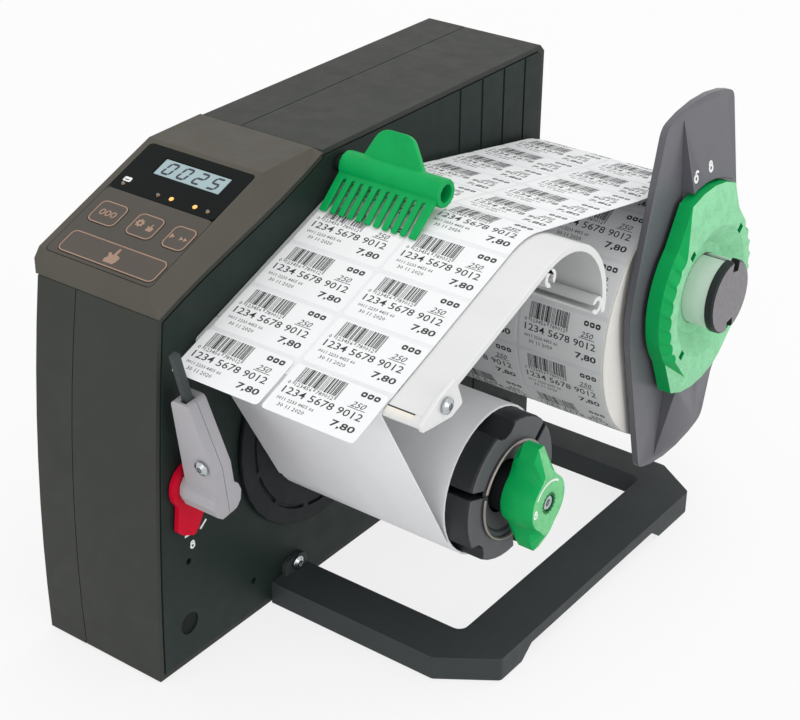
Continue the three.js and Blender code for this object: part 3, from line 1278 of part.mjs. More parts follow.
function paddleOutline() {
  const endAngle = Math.asin(PADDLE_END_HALF / PADDLE_REACH) / DEGREE;
  const shoulder = Math.sqrt(PADDLE_REACH ** 2 - PADDLE_END_HALF ** 2);
  const corners = [
    [PADDLE_WAIST_HALF, 0, PADDLE_BEND_RADIUS], [PADDLE_END_HALF, shoulder],
    ...arc(0, 0, PADDLE_REACH, 90 - endAngle, 90 + endAngle).slice(1, -1).map((point) => [...point, 0]),
    [-PADDLE_END_HALF, shoulder], [-PADDLE_WAIST_HALF, 0, PADDLE_BEND_RADIUS], [-PADDLE_END_HALF, -shoulder],
    ...arc(0, 0, PADDLE_REACH, 270 - endAngle, 270 + endAngle).slice(1, -1).map((point) => [...point, 0]),
    [PADDLE_END_HALF, -shoulder],
  ];
  return rounded(corners, PADDLE_END_CORNER);
}

function flangePaddle() {
  const face = PADDLE_X + PADDLE_THICKNESS;
  const bore = SHAFT_RADIUS + GAP;
  const plate = prismX(paddleOutline(), PADDLE_X, face);
  const sides = [1, -1];
  const ramps = sides.map((side) => paddleRamp(face, side));
  const sleeve = rodX(0, 0, bore + SLEEVE_WALL, PADDLE_X - SLEEVE_BACK, face + SLEEVE_REACH);
  const sweep = RING_WING_RADIUS + RING_SWEEP_GAP;
  const ringRoom = rodX(0, 0, sweep, face + RIB_HEIGHT, face + RAMP_HEIGHT + OVERRUN);
  const seatRoom = ring(bore + SLEEVE_WALL, RIB_START + OVERRUN, face, face + RIB_HEIGHT + OVERRUN);
  const grip = cut(join(plate, ...ramps), ringRoom, seatRoom);
  return cut(join(grip, sleeve), rodX(0, 0, bore, 0, SHAFT_LENGTH));
}

// The raised part of the paddle: it rises from the end to the ring, with a steep wall in front
function paddleRamp(face, side) {
  const rise = [
    [face - GAP, RIB_START], [face + RAMP_HEIGHT, RIB_START], [face + RAMP_HEIGHT, RING_WING_RADIUS],
    [face, RIB_END], [face - GAP, RIB_END],
  ];
  const toSizes = (shares) => shares.map((share) => share * PADDLE_END_HALF);
  const span = [RAMP_LEFT_SHARES, RAMP_RIGHT_SHARES].map(toSizes);
  const [[leftFoot, leftEnd], [rightFoot, rightEnd]] = span;
  const outline = [[leftFoot, RIB_START], [rightFoot, RIB_START], [rightEnd, RIB_END], [leftEnd, RIB_END]];
  return common(
    prismY(scaled(rise, 1, side), -PADDLE_END_HALF, PADDLE_END_HALF),
    prismX(scaled(outline, 1, side), face - GAP, face + RAMP_HEIGHT),
  );
}

// Two wings with straight flanks that run into a round grip between them
function clampRingOutline(gripRadius, wingRadius, scallop) {
  const gripSpan = 180 - 2 * RING_WING_FOOT_ANGLE;
  const steps = RING_SCALLOP_COUNT * RING_SCALLOP_STEPS;
  return [0, 180].flatMap((turn) => {
    const middle = RING_LEAN + turn;
    const wing = Array.from({ length: RING_WING_STEPS }, (_, i) => {
      const share = (2 * i) / (RING_WING_STEPS - 1) - 1;
      return polar(wingRadius, middle + share * RING_WING_HALF_ANGLE);
    });
    const grip = Array.from({ length: steps + 1 }, (_, i) => {
      const dip = (scallop * (1 - Math.cos((360 * i * DEGREE) / RING_SCALLOP_STEPS))) / 2;
      return polar(gripRadius - dip, middle + RING_WING_FOOT_ANGLE + (gripSpan * i) / steps);
    });
    return [...wing, ...grip];
  });
}

function clampRing() {
  const end = RING_X + RING_DEPTH;
  const back = clampRingOutline(RING_RADIUS, RING_WING_RADIUS, 0);
  const body = loft([
    { at: RING_X, outline: back },
    { at: RING_X + RING_WING_DEPTH, outline: back },
    { at: end, outline: clampRingOutline(RING_FACE_RADIUS, RING_WING_FACE_RADIUS, RING_SCALLOP) },
  ], ALONG_X);
  const sleeveEnd = PADDLE_X + PADDLE_THICKNESS + SLEEVE_REACH + GAP;
  const seat = SHAFT_RADIUS + GAP + SLEEVE_WALL + GAP;
  const bore = SHAFT_RADIUS + GAP;
  const dish = turned([
    [RING_X - OVERRUN, 0], [RING_X - OVERRUN, seat], [sleeveEnd, seat], [sleeveEnd, bore],
    [end - DISH_DEPTH, bore], [end - DISH_DEPTH, DISH_FLOOR_RADIUS], [end, DISH_RADIUS],
    [end + OVERRUN, DISH_RADIUS], [end + OVERRUN, 0],
  ], CORE_STEPS);
  const half = RING_SLOT_SIDE / 2;
  const slot = box2(RING_SLOT_REACH - RING_SLOT_SIDE, RING_SLOT_REACH, -half, half);
  const slots = [0, 180].flatMap((turn) => [-RING_SLOT_ANGLE, RING_SLOT_ANGLE].map((angle) =>
    prismX(spun(slot, RING_LEAN + turn + angle), end - DISH_DEPTH, end + OVERRUN)));
  return cut(body, dish, ...slots);
}

function buildSupply() {
  const supply = subGroup(machine, SUPPLY_Y, SUPPLY_Z);
  const roll = subGroup(supply, 0, ROLL_Z);
  const core = CORE_BORE_RADIUS + CORE_WALL;
  piece(supply, "supply_shaft", supplyShaft(), ALUMINIUM);
  piece(supply, "shaft_end_cap", shaftCap(), DARK_PLASTIC);
  piece(supply, "flange_paddle", flangePaddle(), FLANGE_PLASTIC);
  piece(supply, "clamp_ring", clampRing(), GREEN_PLASTIC);
  piece(roll, "roll_core", ring(CORE_BORE_RADIUS, core, ROLL_START, ROLL_START + ROLL_WIDTH), CARDBOARD);
  piece(roll, "supply_roll", ring(core + GAP, ROLL_RADIUS, ROLL_START, ROLL_START + ROLL_WIDTH), WHITE_PAPER);
}

// Foot frame, its screws and the rubber feet

function lugPlaces() {
  return [FOOT_FRONT + FOOT_FRONT_WIDTH - LUG_WIDTH / 2, FOOT_BACK - LUG_WIDTH / 2];
}

function housingPadPlaces() {
  const x = -HOUSING_WIDTH + LEFT_COVER_WIDTH / 2;
  return [[x, SHOULDER_Y + PAD_INSET], [x, HOUSING_BACK - PAD_INSET]];
}

function framePadPlaces() {
  const x = FOOT_REACH - FOOT_SIDE_WIDTH / 2;
  return [[x, FOOT_FRONT + FOOT_FRONT_WIDTH], [x, FOOT_BACK - FOOT_BACK_WIDTH]];
}

function padRecess([x, y]) {
  return prismZ(circle(x, y, FOOT_PAD_RADIUS + GAP), 0, FOOT_PAD_HEIGHT + GAP);
}

function footFrame() {
  const [front, back] = [FOOT_FRONT, FOOT_BACK];
  const inside = FOOT_REACH - FOOT_SIDE_WIDTH;
  const outer = [
    [FOOT_REACH - FOOT_CHAMFER_X, front], [FOOT_REACH, front + FOOT_CHAMFER_Y],
    [FOOT_REACH, back - FOOT_BACK_CHAMFER_Y], [FOOT_REACH - FOOT_BACK_CHAMFER_X, back],
  ];
  const inner = [[inside, back - FOOT_BACK_WIDTH], [inside, front + FOOT_FRONT_WIDTH]];
  const outline = rounded([
    [GAP, front, 0], ...outer.map(([x, y]) => [x, y, FOOT_CORNER]), [GAP, back, 0],
    [GAP, back - FOOT_BACK_WIDTH, 0], ...inner.map(([x, y]) => [x, y, FOOT_INNER_CORNER]),
    [GAP, front + FOOT_FRONT_WIDTH, 0],
  ], 0);
  const arch = prismX([
    [FOOT_ARCH_START, 0], [FOOT_ARCH_END, 0], [FOOT_ARCH_END - FOOT_ARCH_RUN, GROUND_GAP + FOOT_ARCH_RISE],
    [FOOT_ARCH_START + FOOT_ARCH_RUN, GROUND_GAP + FOOT_ARCH_RISE],
  ], inside - OVERRUN, FOOT_REACH + OVERRUN);
  const lugs = lugPlaces().map((y) => {
    const corners = box2(y - LUG_WIDTH / 2, y + LUG_WIDTH / 2, GROUND_GAP, LUG_HEIGHT);
    const shape = rounded(corners.map(([u, v]) => [u, v, v === LUG_HEIGHT ? LUG_CORNER : 0]), 0);
    return prismX(shape, GAP, GAP + LUG_THICKNESS);
  });
  const holeEnd = GAP + LUG_THICKNESS + OVERRUN;
  const holes = lugPlaces().map((y) => rodX(y, LUG_SCREW_Z, SHANK_RADIUS + GAP, 0, holeEnd));
  const body = join(prismZ(outline, GROUND_GAP, FOOT_FRAME_HEIGHT), ...lugs);
  return cut(body, arch, ...holes, ...framePadPlaces().map(padRecess));
}

function buildFeet() {
  piece(machine, "foot_frame", footFrame(), DARK_PLASTIC);
  lugPlaces().forEach((y, i) => {
    const screw = screwX(2 * GAP + LUG_THICKNESS).translate(0, y, LUG_SCREW_Z);
    piece(machine, ["foot_screw_front", "foot_screw_rear"][i], screw, STEEL);
  });
  [...housingPadPlaces(), ...framePadPlaces()].forEach(([x, y], i) => {
    const pad = prismZ(circle(x, y, FOOT_PAD_RADIUS), 0, FOOT_PAD_HEIGHT);
    piece(machine, `rubber_foot_${i + 1}`, pad, BLACK_RUBBER);
  });
}

// Comb with its rod

function combBody() {
  const table = new THREE.Vector2(...polar(1, TABLE_ANGLE));
  const tipRun = COMB_TIP_Y - TABLE_FRONT_Y;
  const tipZ = TABLE_FRONT_Z + (tipRun * table.y) / table.x + (2 * GAP + WEB_THICKNESS) / table.x;
  const [tipU, tipV] = [COMB_TIP_Y - COMB_Y, tipZ - COMB_Z];
  const heading = Math.atan2(tipV, tipU) / DEGREE;
  const upward = heading - 90;
  const blade = [
    [tipU, tipV], polar(COMB_TIP_THICKNESS, upward, tipU, tipV), polar(COMB_THICKNESS, upward), [0, 0],
  ];
  const tube = rodX(0, 0, COMB_TUBE_RADIUS, COMB_START, COMB_END);
  const finFoot = COMB_BORE + GAP;
  const fin = prismY(rounded([
    [FIN_LEFT, finFoot, 0], [FIN_RIGHT, finFoot, 0], [FIN_TOP_RIGHT, FIN_HEIGHT], [FIN_TOP_LEFT, FIN_HEIGHT],
  ], FIN_CORNER), -FIN_THICKNESS / 2, FIN_THICKNESS / 2).rotateX(-FIN_LEAN * DEGREE);
  const slotSpan = [-COMB_THICKNESS, 2 * COMB_THICKNESS];
  const slotOutline = spun(box2(FINGER_ROOT, FINGER_REACH, -slotSpan[1], -slotSpan[0]), heading);
  const pitch = (FINGER_END - COMB_START) / FINGER_COUNT;
  const slots = Array.from({ length: FINGER_COUNT - 1 }, (_, i) => {
    const x = COMB_START + (i + 1) * pitch;
    return prismX(slotOutline, x - FINGER_SLOT / 2, x + FINGER_SLOT / 2);
  });
  const body = join(tube, prismX(blade, COMB_START, FINGER_END), fin);
  return cut(body, rodX(0, 0, COMB_BORE, COMB_START - OVERRUN, COMB_END + OVERRUN), ...slots);
}

function headedPin(radius, headRadius, head, end) {
  const seat = -PLATE_THICKNESS - GAP;
  return turned([
    [seat - head, 0], [seat - head, headRadius], [seat, headRadius], [seat, radius], [end, radius], [end, 0],
  ]);
}

function buildComb() {
  const comb = subGroup(machine, COMB_Y, COMB_Z);
  piece(comb, "comb", combBody(), GREEN_PLASTIC);
  piece(comb, "comb_rod", headedPin(ROD_RADIUS, ROD_HEAD_RADIUS, ROD_HEAD, ROD_END), STEEL);
}

// Label sensor

// The whole arm in its own leaning frame: its height runs along Z, and its front faces -Y
function sensorArmBody() {
  const end = SENSOR_START + SENSOR_WIDTH;
  const side = join(
    prismX(box2(-SENSOR_HALF_DEPTH, SENSOR_HALF_DEPTH, 0, SENSOR_RISE), SENSOR_START, end),
    rodX(0, 0, SENSOR_BOSS_RADIUS, SENSOR_START, end),
  );
  const front = prismY(rounded([
    [SENSOR_START, -SENSOR_BOSS_RADIUS], [end, -SENSOR_BOSS_RADIUS], [end, SENSOR_TAPER_RISE],
    [SENSOR_START + SENSOR_TOP_WIDTH, SENSOR_RISE], [SENSOR_START, SENSOR_RISE],
  ], SENSOR_CORNER), -SENSOR_BOSS_RADIUS, SENSOR_BOSS_RADIUS);
  const collarStart = LEVER_START + LEVER_THICKNESS + GAP;
  const collar = rodX(0, 0, SENSOR_COLLAR_RADIUS, collarStart, SENSOR_START + SENSOR_CORNER);
  return join(common(side, front), collar);
}

function sensorScrewPlace() {
  return [SENSOR_START + SENSOR_SCREW_SHARE * SENSOR_WIDTH, -SENSOR_HALF_DEPTH, SENSOR_SCREW_RISE];
}

// Points a shape that was made along +X to the arm's front, at the place of its screw
function toArmFront(shape) {
  return shape.rotateZ(-90 * DEGREE).translate(...sensorScrewPlace()).rotateX(SENSOR_LEAN * DEGREE);
}

function sensorHalves(feeler) {
  const halfBlade = FEELER_THICKNESS / 2 + GAP;
  const room = FEELER_WIDTH / 2 + FEELER_ROOM;
  const pocketShape = box2(-room, room, -FEELER_TAIL - FEELER_ROOM, FEELER_RISE);
  const pinHalf = halfBlade + FEELER_PIN_REACH;
  const tools = [
    prismX(pocketShape, FEELER_X - halfBlade, FEELER_X + halfBlade).applyMatrix4(feeler.matrix),
    rodX(0, 0, FEELER_PIN_RADIUS + GAP, FEELER_X - pinHalf, FEELER_X + pinHalf).applyMatrix4(feeler.matrix),
    rodX(0, 0, PIVOT_RADIUS + GAP, 0, PIVOT_END + GAP),
    toArmFront(rodX(0, 0, SHANK_RADIUS + GAP, -SHANK_LENGTH, OVERRUN)),
  ];
  const [low, high] = [-2 * SENSOR_BOSS_RADIUS, SENSOR_RISE + OVERRUN];
  return [[-SENSOR_BOSS_RADIUS, -GAP / 2], [GAP / 2, SENSOR_BOSS_RADIUS]].map(([from, to]) => {
    const half = common(sensorArmBody(), prismX(box2(from, to, low, high), 0, TABLE_END));
    return cut(half.rotateX(SENSOR_LEAN * DEGREE), ...tools);
  });
}

function feelerBlade() {
  const [root, tip] = [FEELER_WIDTH / 2, FEELER_TIP_WIDTH / 2];
  const outline = [[-root, -FEELER_TAIL], [root, -FEELER_TAIL], [tip, FEELER_RISE], [-tip, FEELER_RISE]];
  const pinHalf = FEELER_THICKNESS / 2 + FEELER_PIN_REACH;
  return join(
    prismX(outline, FEELER_X - FEELER_THICKNESS / 2, FEELER_X + FEELER_THICKNESS / 2),
    rodX(0, 0, FEELER_PIN_RADIUS, FEELER_X - pinHalf, FEELER_X + pinHalf),
  );
}

function clampLever() {
  const end = LEVER_START + LEVER_THICKNESS;
  const tab = rounded(scaled(LEVER_TAB_SHARES, LEVER_TAB_REACH), LEVER_TAB_CORNER);
  const body = join(rodX(0, 0, LEVER_RADIUS, LEVER_START, end), prismX(tab, LEVER_START, end));
  return cut(body, rodX(0, 0, PIVOT_RADIUS + GAP, 0, end + OVERRUN));
}

function buildSensor() {
  const sensor = subGroup(machine, SENSOR_Y, SENSOR_Z);
  const feeler = subGroup(sensor, FEELER_Y, FEELER_Z, FEELER_LEAN);
  const [front, rear] = sensorHalves(feeler);
  piece(sensor, "sensor_arm_front", front, GREY_PLASTIC);
  piece(sensor, "sensor_arm_rear", rear, GREY_PLASTIC);
  piece(feeler, "sensor_feeler", feelerBlade(), BLACK_RUBBER);
  piece(sensor, "sensor_arm_screw", toArmFront(screwX(GAP)), STEEL);
  piece(sensor, "sensor_clamp_lever", clampLever(), RED_PLASTIC);
  const bolt = headedPin(PIVOT_RADIUS, PIVOT_HEAD_RADIUS, PIVOT_HEAD, PIVOT_END);
  piece(sensor, "sensor_pivot_bolt", bolt, STEEL);
}

// Assembly: the origin is the middle of the footprint, on the ground

buildHousing();
buildPanel();
buildRewinder();
buildTable();
buildSupply();
buildFeet();
buildComb();
buildSensor();

const extent = new THREE.Box3().setFromObject(object);
const footprint = extent.getCenter(new THREE.Vector3());
machine.position.set(-footprint.x, -footprint.y, -extent.min.z);

export default object;
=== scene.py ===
"""The looks of a desk-top label dispenser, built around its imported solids.

Sizes are millimetres in the machine's own frame: X = 0 is the outer face of the side plate, +Y runs from the
front to the back and Z = 0 is the table top. Every mesh is moved to the row frame, in metres, when it is finished.
"""

import json
import logging
import math
from dataclasses import dataclass, field
from enum import Enum
from typing import NamedTuple, Self

import bmesh
import bpy
from bmesh.types import BMesh, BMVert
from bpy.types import ID, Material, Mesh, Node, NodeSocket, NodeTree, Object
from mathutils import Color, Matrix, Vector
from mathutils.bvhtree import BVHTree


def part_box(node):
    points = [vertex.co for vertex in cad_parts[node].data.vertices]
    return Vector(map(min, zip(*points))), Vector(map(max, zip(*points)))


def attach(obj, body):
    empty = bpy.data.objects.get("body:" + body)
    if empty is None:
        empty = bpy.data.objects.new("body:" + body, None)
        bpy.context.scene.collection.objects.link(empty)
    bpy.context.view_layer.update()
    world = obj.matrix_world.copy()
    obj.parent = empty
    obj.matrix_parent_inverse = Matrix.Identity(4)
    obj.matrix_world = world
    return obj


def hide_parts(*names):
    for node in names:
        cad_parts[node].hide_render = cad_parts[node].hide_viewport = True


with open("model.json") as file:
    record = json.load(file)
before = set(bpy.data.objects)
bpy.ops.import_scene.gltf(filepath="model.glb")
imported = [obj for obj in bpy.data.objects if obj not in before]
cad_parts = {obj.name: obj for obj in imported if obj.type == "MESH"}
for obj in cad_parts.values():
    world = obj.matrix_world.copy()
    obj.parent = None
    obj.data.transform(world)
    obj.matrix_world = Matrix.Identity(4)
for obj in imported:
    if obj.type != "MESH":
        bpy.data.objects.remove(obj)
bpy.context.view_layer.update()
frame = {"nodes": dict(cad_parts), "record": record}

log = logging.getLogger("label_dispenser")

Point = tuple[float, float]
Triple = tuple[float, float, float]

MM = 0.001
HOUSING_BACK = 320.6
OUTWARD = Vector((1.0, 0.0, 0.0))
WHITE = (1.0, 1.0, 1.0, 1.0)
MIX_SHARE, MIX_FIRST, MIX_SECOND, MIX_RESULT = 0, 6, 7, 2
MARK = (-0.05, 0.12)
LABEL_INK = (-0.02, 0.05)
DRAPE_REACH = 200.0
SIDE = Matrix(((0, 0, 1, 0), (1, 0, 0, 0), (0, 1, 0, 0), (0, 0, 0, 1)))
KEYS = "key_clear key_mode key_jog key_start"

ORIGIN = Vector((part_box("side_plate")[1].x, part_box("housing_main_cover")[1].y - HOUSING_BACK * MM, 0.0))
TO_ROW = Matrix.Translation(ORIGIN) @ Matrix.Scale(MM, 4)


def turn(angle: float, axis: str) -> Matrix:
    """A rotation by an angle in degrees round an axis."""
    return Matrix.Rotation(math.radians(angle), 4, axis)


def add_object(name: str, data: ID) -> Object:
    """Adds an object with its data to the scene."""
    bpy.context.scene.collection.objects.link(bpy.data.objects.new(name, data))
    return bpy.data.objects[name]


def set_inputs(node: Node, inputs: dict) -> None:
    """Sets a node's inputs.

    Args:
        node: The node.
        inputs: For each input, the socket that it is linked to or a plain value.
    """
    for key, value in inputs.items():
        if isinstance(value, NodeSocket):
            node.id_data.links.new(value, node.inputs[key])
        else:
            node.inputs[key].default_value = value


def add_node(tree: NodeTree, kind: str, inputs: dict, output: str | int, **settings: str | int) -> NodeSocket:
    """Adds a shader node.

    Args:
        tree: The node tree.
        kind: The node's type, without its prefix.
        inputs: What its inputs are set to.
        output: The output that is wanted.
        settings: The node's properties.

    Returns:
        The output's socket.
    """
    node = tree.nodes.new(f"ShaderNode{kind}")
    for key, value in settings.items():
        setattr(node, key, value)
    set_inputs(node, inputs)
    return node.outputs[output]


def noise(tree: NodeTree, place: NodeSocket, size: float, detail: float) -> NodeSocket:
    """Adds a noise with blobs of a size in millimetres and finer octaves."""
    inputs = {"Vector": place, "Scale": 1.0 / size, "Detail": detail, "Roughness": 0.55}
    return add_node(tree, "TexNoise", inputs, "Fac")


def ranged(tree: NodeTree, value: NodeSocket, low: float, high: float, ends: Point = (0.3, 0.7)) -> NodeSocket:
    """Maps a value between two ends to the range from low to high."""
    inputs = {"Value": value, "From Min": ends[0], "From Max": ends[1], "To Min": low, "To Max": high}
    return add_node(tree, "MapRange", inputs, "Result")


def mixed(tree: NodeTree, share: NodeSocket, first: NodeSocket | tuple, second: tuple) -> NodeSocket:
    """Mixes two colours by a share."""
    inputs = {MIX_SHARE: share, MIX_FIRST: first, MIX_SECOND: second}
    return add_node(tree, "Mix", inputs, MIX_RESULT, data_type="RGBA")


class Pattern(Enum):
    """The relief that a finish shows close up."""

    GRAIN = "fine grain, fibres or drawn lines"
    WOUND = "the edges of many wound layers"


@dataclass(frozen=True)
class Finish:
    """One surface finish, made as a node material on Object coordinates, with its sizes in millimetres."""

    name: str
    code: str
    roughness: float
    metallic: float = 0.0
    pattern: Pattern = Pattern.GRAIN
    grain: float = 0.5
    relief: float = 0.006
    mottle: float = 0.05
    blotch: float = 25.0
    gloss: float = 0.2
    glow: float = 0.0
    painted_edge_shading: float = 0.0
    stretch: Triple = (1.0, 1.0, 1.0)
    centre: Triple = (0.0, 0.0, 0.0)

    def build(self) -> Material:
        """Makes the material, or returns the one that is there.

        Returns:
            The node material.
        """
        name = f"{self.name}_finish"
        if name in bpy.data.materials:
            return bpy.data.materials[name]
        material = bpy.data.materials.new(name)
        material.use_nodes = True
        tree = material.node_tree
        scale = [share / MM for share in self.stretch]
        shift = [-c * s for c, s in zip(self.centre, scale)]
        source = add_node(tree, "TexCoord", {}, "Object")
        place = add_node(tree, "Mapping", {"Vector": source, "Location": shift, "Scale": scale}, "Vector")
        patch = noise(tree, place, self.blotch * 0.4, 4.0)
        set_inputs(tree.nodes["Principled BSDF"], {
            "Base Color": self._colour(tree, place),
            "Metallic": self.metallic,
            "Roughness": ranged(tree, patch, self.roughness * 0.9, min(1.0, self.roughness * 1.12)),
            "Specular IOR Level": self.gloss,
            "Emission Color": self._shade(1.0),
            "Emission Strength": self.glow,
            "Normal": self._relief(tree, place),
        })
        return material

    def _shade(self, factor: float) -> tuple[float, ...]:
        """The finish's linear colour, lighter or darker by a factor, with its opacity."""
        linear = Color([share / 255 for share in bytes.fromhex(self.code)]).from_srgb_to_scene_linear()
        return (*(min(1.0, share * factor) for share in linear), 1.0)

    def _colour(self, tree: NodeTree, place: NodeSocket) -> NodeSocket:
        """Mixes the mottled colour, with layer lines where the finish has them and, where it has an edge share, painted
        highlights along rounded edges, which a negative share turns to painted shade.

        Args:
            tree: The material's nodes.
            place: The coordinates in millimetres.

        Returns:
            The colour's socket.
        """
        patch = ranged(tree, noise(tree, place, self.blotch, 3.0), 0.0, 1.0)
        colour = mixed(tree, patch, self._shade(1 - self.mottle), self._shade(1 + self.mottle))
        speck = ranged(tree, noise(tree, place, self.grain, 1.0), 0.0, 0.5)
        colour = mixed(tree, speck, colour, self._shade(1 + 2 * self.mottle))
        if self.pattern is Pattern.WOUND:
            colour = mixed(tree, ranged(tree, self._rings(tree, place), 0.0, 0.55), colour, self._shade(0.8))
        # Painted highlight: the colour lightens along rounded edges found by the bevel normal; a negative share paints
        # shade there instead.
        if self.painted_edge_shading:
            bevelled = add_node(tree, "Bevel", {"Radius": 0.7 * MM}, "Normal", samples=4)
            normals = {0: bevelled, 1: add_node(tree, "NewGeometry", {}, "Normal")}
            likeness = add_node(tree, "VectorMath", normals, "Value", operation="DOT_PRODUCT")
            painted_edge_mask = ranged(tree, likeness, 0.0, 1.0, (0.98, 0.8))
            colour = mixed(tree, painted_edge_mask, colour, self._shade(1 + self.painted_edge_shading))
        return colour

    def _rings(self, tree: NodeTree, place: NodeSocket) -> NodeSocket:
        """Adds fine uneven rings round the X axis through the pattern's centre."""
        inputs = {"Vector": place, "Scale": 1.0 / self.grain, "Distortion": 1.2, "Detail": 2.0, "Detail Scale": 0.4}
        return add_node(tree, "TexWave", inputs, "Fac", wave_type="RINGS", rings_direction="X")

    def _relief(self, tree: NodeTree, place: NodeSocket) -> NodeSocket:
        """Adds the bump of the finish's pattern."""
        height = self._rings(tree, place) if self.pattern is Pattern.WOUND else noise(tree, place, self.grain, 2.0)
        return add_node(tree, "Bump", {"Strength": 1.0, "Distance": self.relief * MM, "Height": height}, "Normal")


# An edge share lightens a finish's rounded edges as painted highlight; a negative one darkens them as painted shade.
PLATE_PAINT = Finish("plate_paint", "1e2926", 0.5, grain=0.35, relief=0.008, gloss=0.18, painted_edge_shading=0.5)
COVER_PAINT = Finish("cover_paint", "373935", 0.58, grain=0.45, relief=0.012, gloss=0.18, painted_edge_shading=0.3)
PANEL_PLASTIC = Finish("panel_plastic", "504d46", 0.6, grain=0.4, relief=0.015)
FOIL = Finish("keypad_foil", "4b4741", 0.42, grain=0.25, mottle=0.04)
KEY_FOIL = Finish("key_foil", "504a44", 0.42, grain=0.25)
KEY_LINE = Finish("key_line", "9d8170", 0.5, grain=0.3, relief=0.004, mottle=0.06)
WINDOW = Finish("display_window", "0a100f", 0.16, grain=8.0, relief=0.004, mottle=0.1, gloss=0.08)
LCD = Finish("lcd_glass", "9db2b6", 0.25, grain=0.3, relief=0.001, gloss=0.3)
SEGMENTS = Finish("display_segments", "262c38", 0.5, grain=0.4, relief=0.002, mottle=0.1, gloss=0.5)
AMBER = Finish("amber_light", "f0b45f", 0.3, relief=0.004, mottle=0.12, blotch=1.5, gloss=0.5, glow=0.5)
GREY_LIGHT = Finish("grey_light", "73716c", 0.35, relief=0.004, mottle=0.1, blotch=1.5, gloss=0.5)
WHITE_MARK = Finish("white_mark", "e6e8e7", 0.55, grain=0.3, relief=0.003, mottle=0.03, gloss=0.5)
GREEN = Finish("green_moulding", "039e51", 0.42, mottle=0.08, blotch=9, gloss=0.16, painted_edge_shading=0.5)
# This and the next line are lighter copies of the green moulding for faces turned to +X: painted light.
GREEN_PAINTED_LIGHT = Finish("green_face_painted_light", "86c99b", 0.6, grain=1.1, relief=0.02, mottle=0.13, blotch=6, gloss=0.25)
KNOB_PAINTED_LIGHT = Finish("green_knob_face_painted_light", "6dba80", 0.6, grain=0.9, relief=0.02, mottle=0.16, blotch=4)
# A deeper green for the knob's star: painted shade of its recess.
GREEN_PAINTED_SHADE = Finish("green_recess_painted_shade", "04672f", 0.5, mottle=0.08)
RED = Finish("red_moulding", "c6062a", 0.4, relief=0.005, mottle=0.06, blotch=12, gloss=0.18)
GREY = Finish("grey_moulding", "a5a3a7", 0.42, mottle=0.04, blotch=18, gloss=0.3)
DARK = Finish("dark_moulding", "25282a", 0.45, grain=0.4, relief=0.01, mottle=0.06)
# This and the next line are lighter tones of the dark moulding for faces turned to +X: painted light.
DARK_PAINTED_LIGHT = Finish("dark_face_painted_light", "505154", 0.55, grain=0.6, relief=0.015, mottle=0.07, gloss=0.25)
CAP_PAINTED_LIGHT = Finish("grey_cap_face_painted_light", "7e7b7f", 0.6, grain=0.8, relief=0.02, mottle=0.1, blotch=3)
CORE_DARK = Finish("core_moulding", "1c1e20", 0.5, grain=0.4, relief=0.01, mottle=0.08, gloss=0.15)
PLUG = Finish("plate_plug", "131a18", 0.6, grain=0.4, relief=0.01, mottle=0.08, gloss=0.12)
# Its negative edge share paints shade along the paddle's edges.
FLANGE = Finish("flange_moulding", "5e5e64", 0.36, mottle=0.04, blotch=30, gloss=0.3, painted_edge_shading=-0.45)
FOOT_PAINT = Finish("foot_moulding", "363a3b", 0.5, grain=0.4, relief=0.015, mottle=0.06, painted_edge_shading=0.4)
RUBBER = Finish("rubber", "161718", 0.85, grain=0.7, relief=0.04, mottle=0.12)
BLACK = Finish("black_moulding", "17191a", 0.5, relief=0.01, mottle=0.1)
FEELER = Finish("feeler_moulding", "353b3c", 0.5, relief=0.01, mottle=0.08, gloss=0.25)
LABEL_PAPER = Finish("label_paper", "ecedee", 0.55, mottle=0.015, blotch=12, gloss=0.3, stretch=(1.0, 0.35, 0.35))
LINER_PAPER = Finish(
    "liner_paper", "e3e4e6", 0.42, grain=0.8, mottle=0.03, blotch=20, gloss=0.35, stretch=(1.0, 0.4, 0.4)
)
CARDBOARD = Finish("cardboard", "b89f80", 0.9, relief=0.04, mottle=0.12, blotch=8, gloss=0.5)
ALUMINIUM = Finish(
    "anodised_aluminium", "dcdddc", 0.34, metallic=0.35, grain=0.4, relief=0.004, mottle=0.02, gloss=0.5,
    stretch=(0.03, 1.0, 1.0),
)
SPRING = Finish("spring_steel", "8f8683", 0.35, metallic=0.9, relief=0.004, mottle=0.1, blotch=4, gloss=0.5)
PEEL_METAL = Finish("ground_edge", "e6dfd3", 0.4, relief=0.01, gloss=0.4, stretch=(0.2, 1.0, 1.0))
STEEL = Finish("zinc_steel", "b4b8bb", 0.24, metallic=1.0, grain=0.6, mottle=0.08, blotch=3, gloss=0.5)
BOARD = Finish("circuit_board", "1d5b3a", 0.45, grain=0.8, relief=0.02, mottle=0.15, gloss=0.5)
INK = Finish("black_ink", "2a2a2c", 0.55, grain=0.4, relief=0.002, mottle=0.12, blotch=3, gloss=0.5)

NODE_BODY = {node: body for body, nodes in frame["record"]["behaviour"]["bodies"].items() for node in nodes}
NODE_SLOT = {row["node"]: row["material_slot"] for row in frame["record"]["subparts"]}


class Line(NamedTuple):
    """A line of printed digits and the box that it fills, in millimetres."""

    text: str
    left: float
    right: float
    foot: float
    top: float
    bold: float = 0.0
    slant: float = 0.0
    steps: int = 1


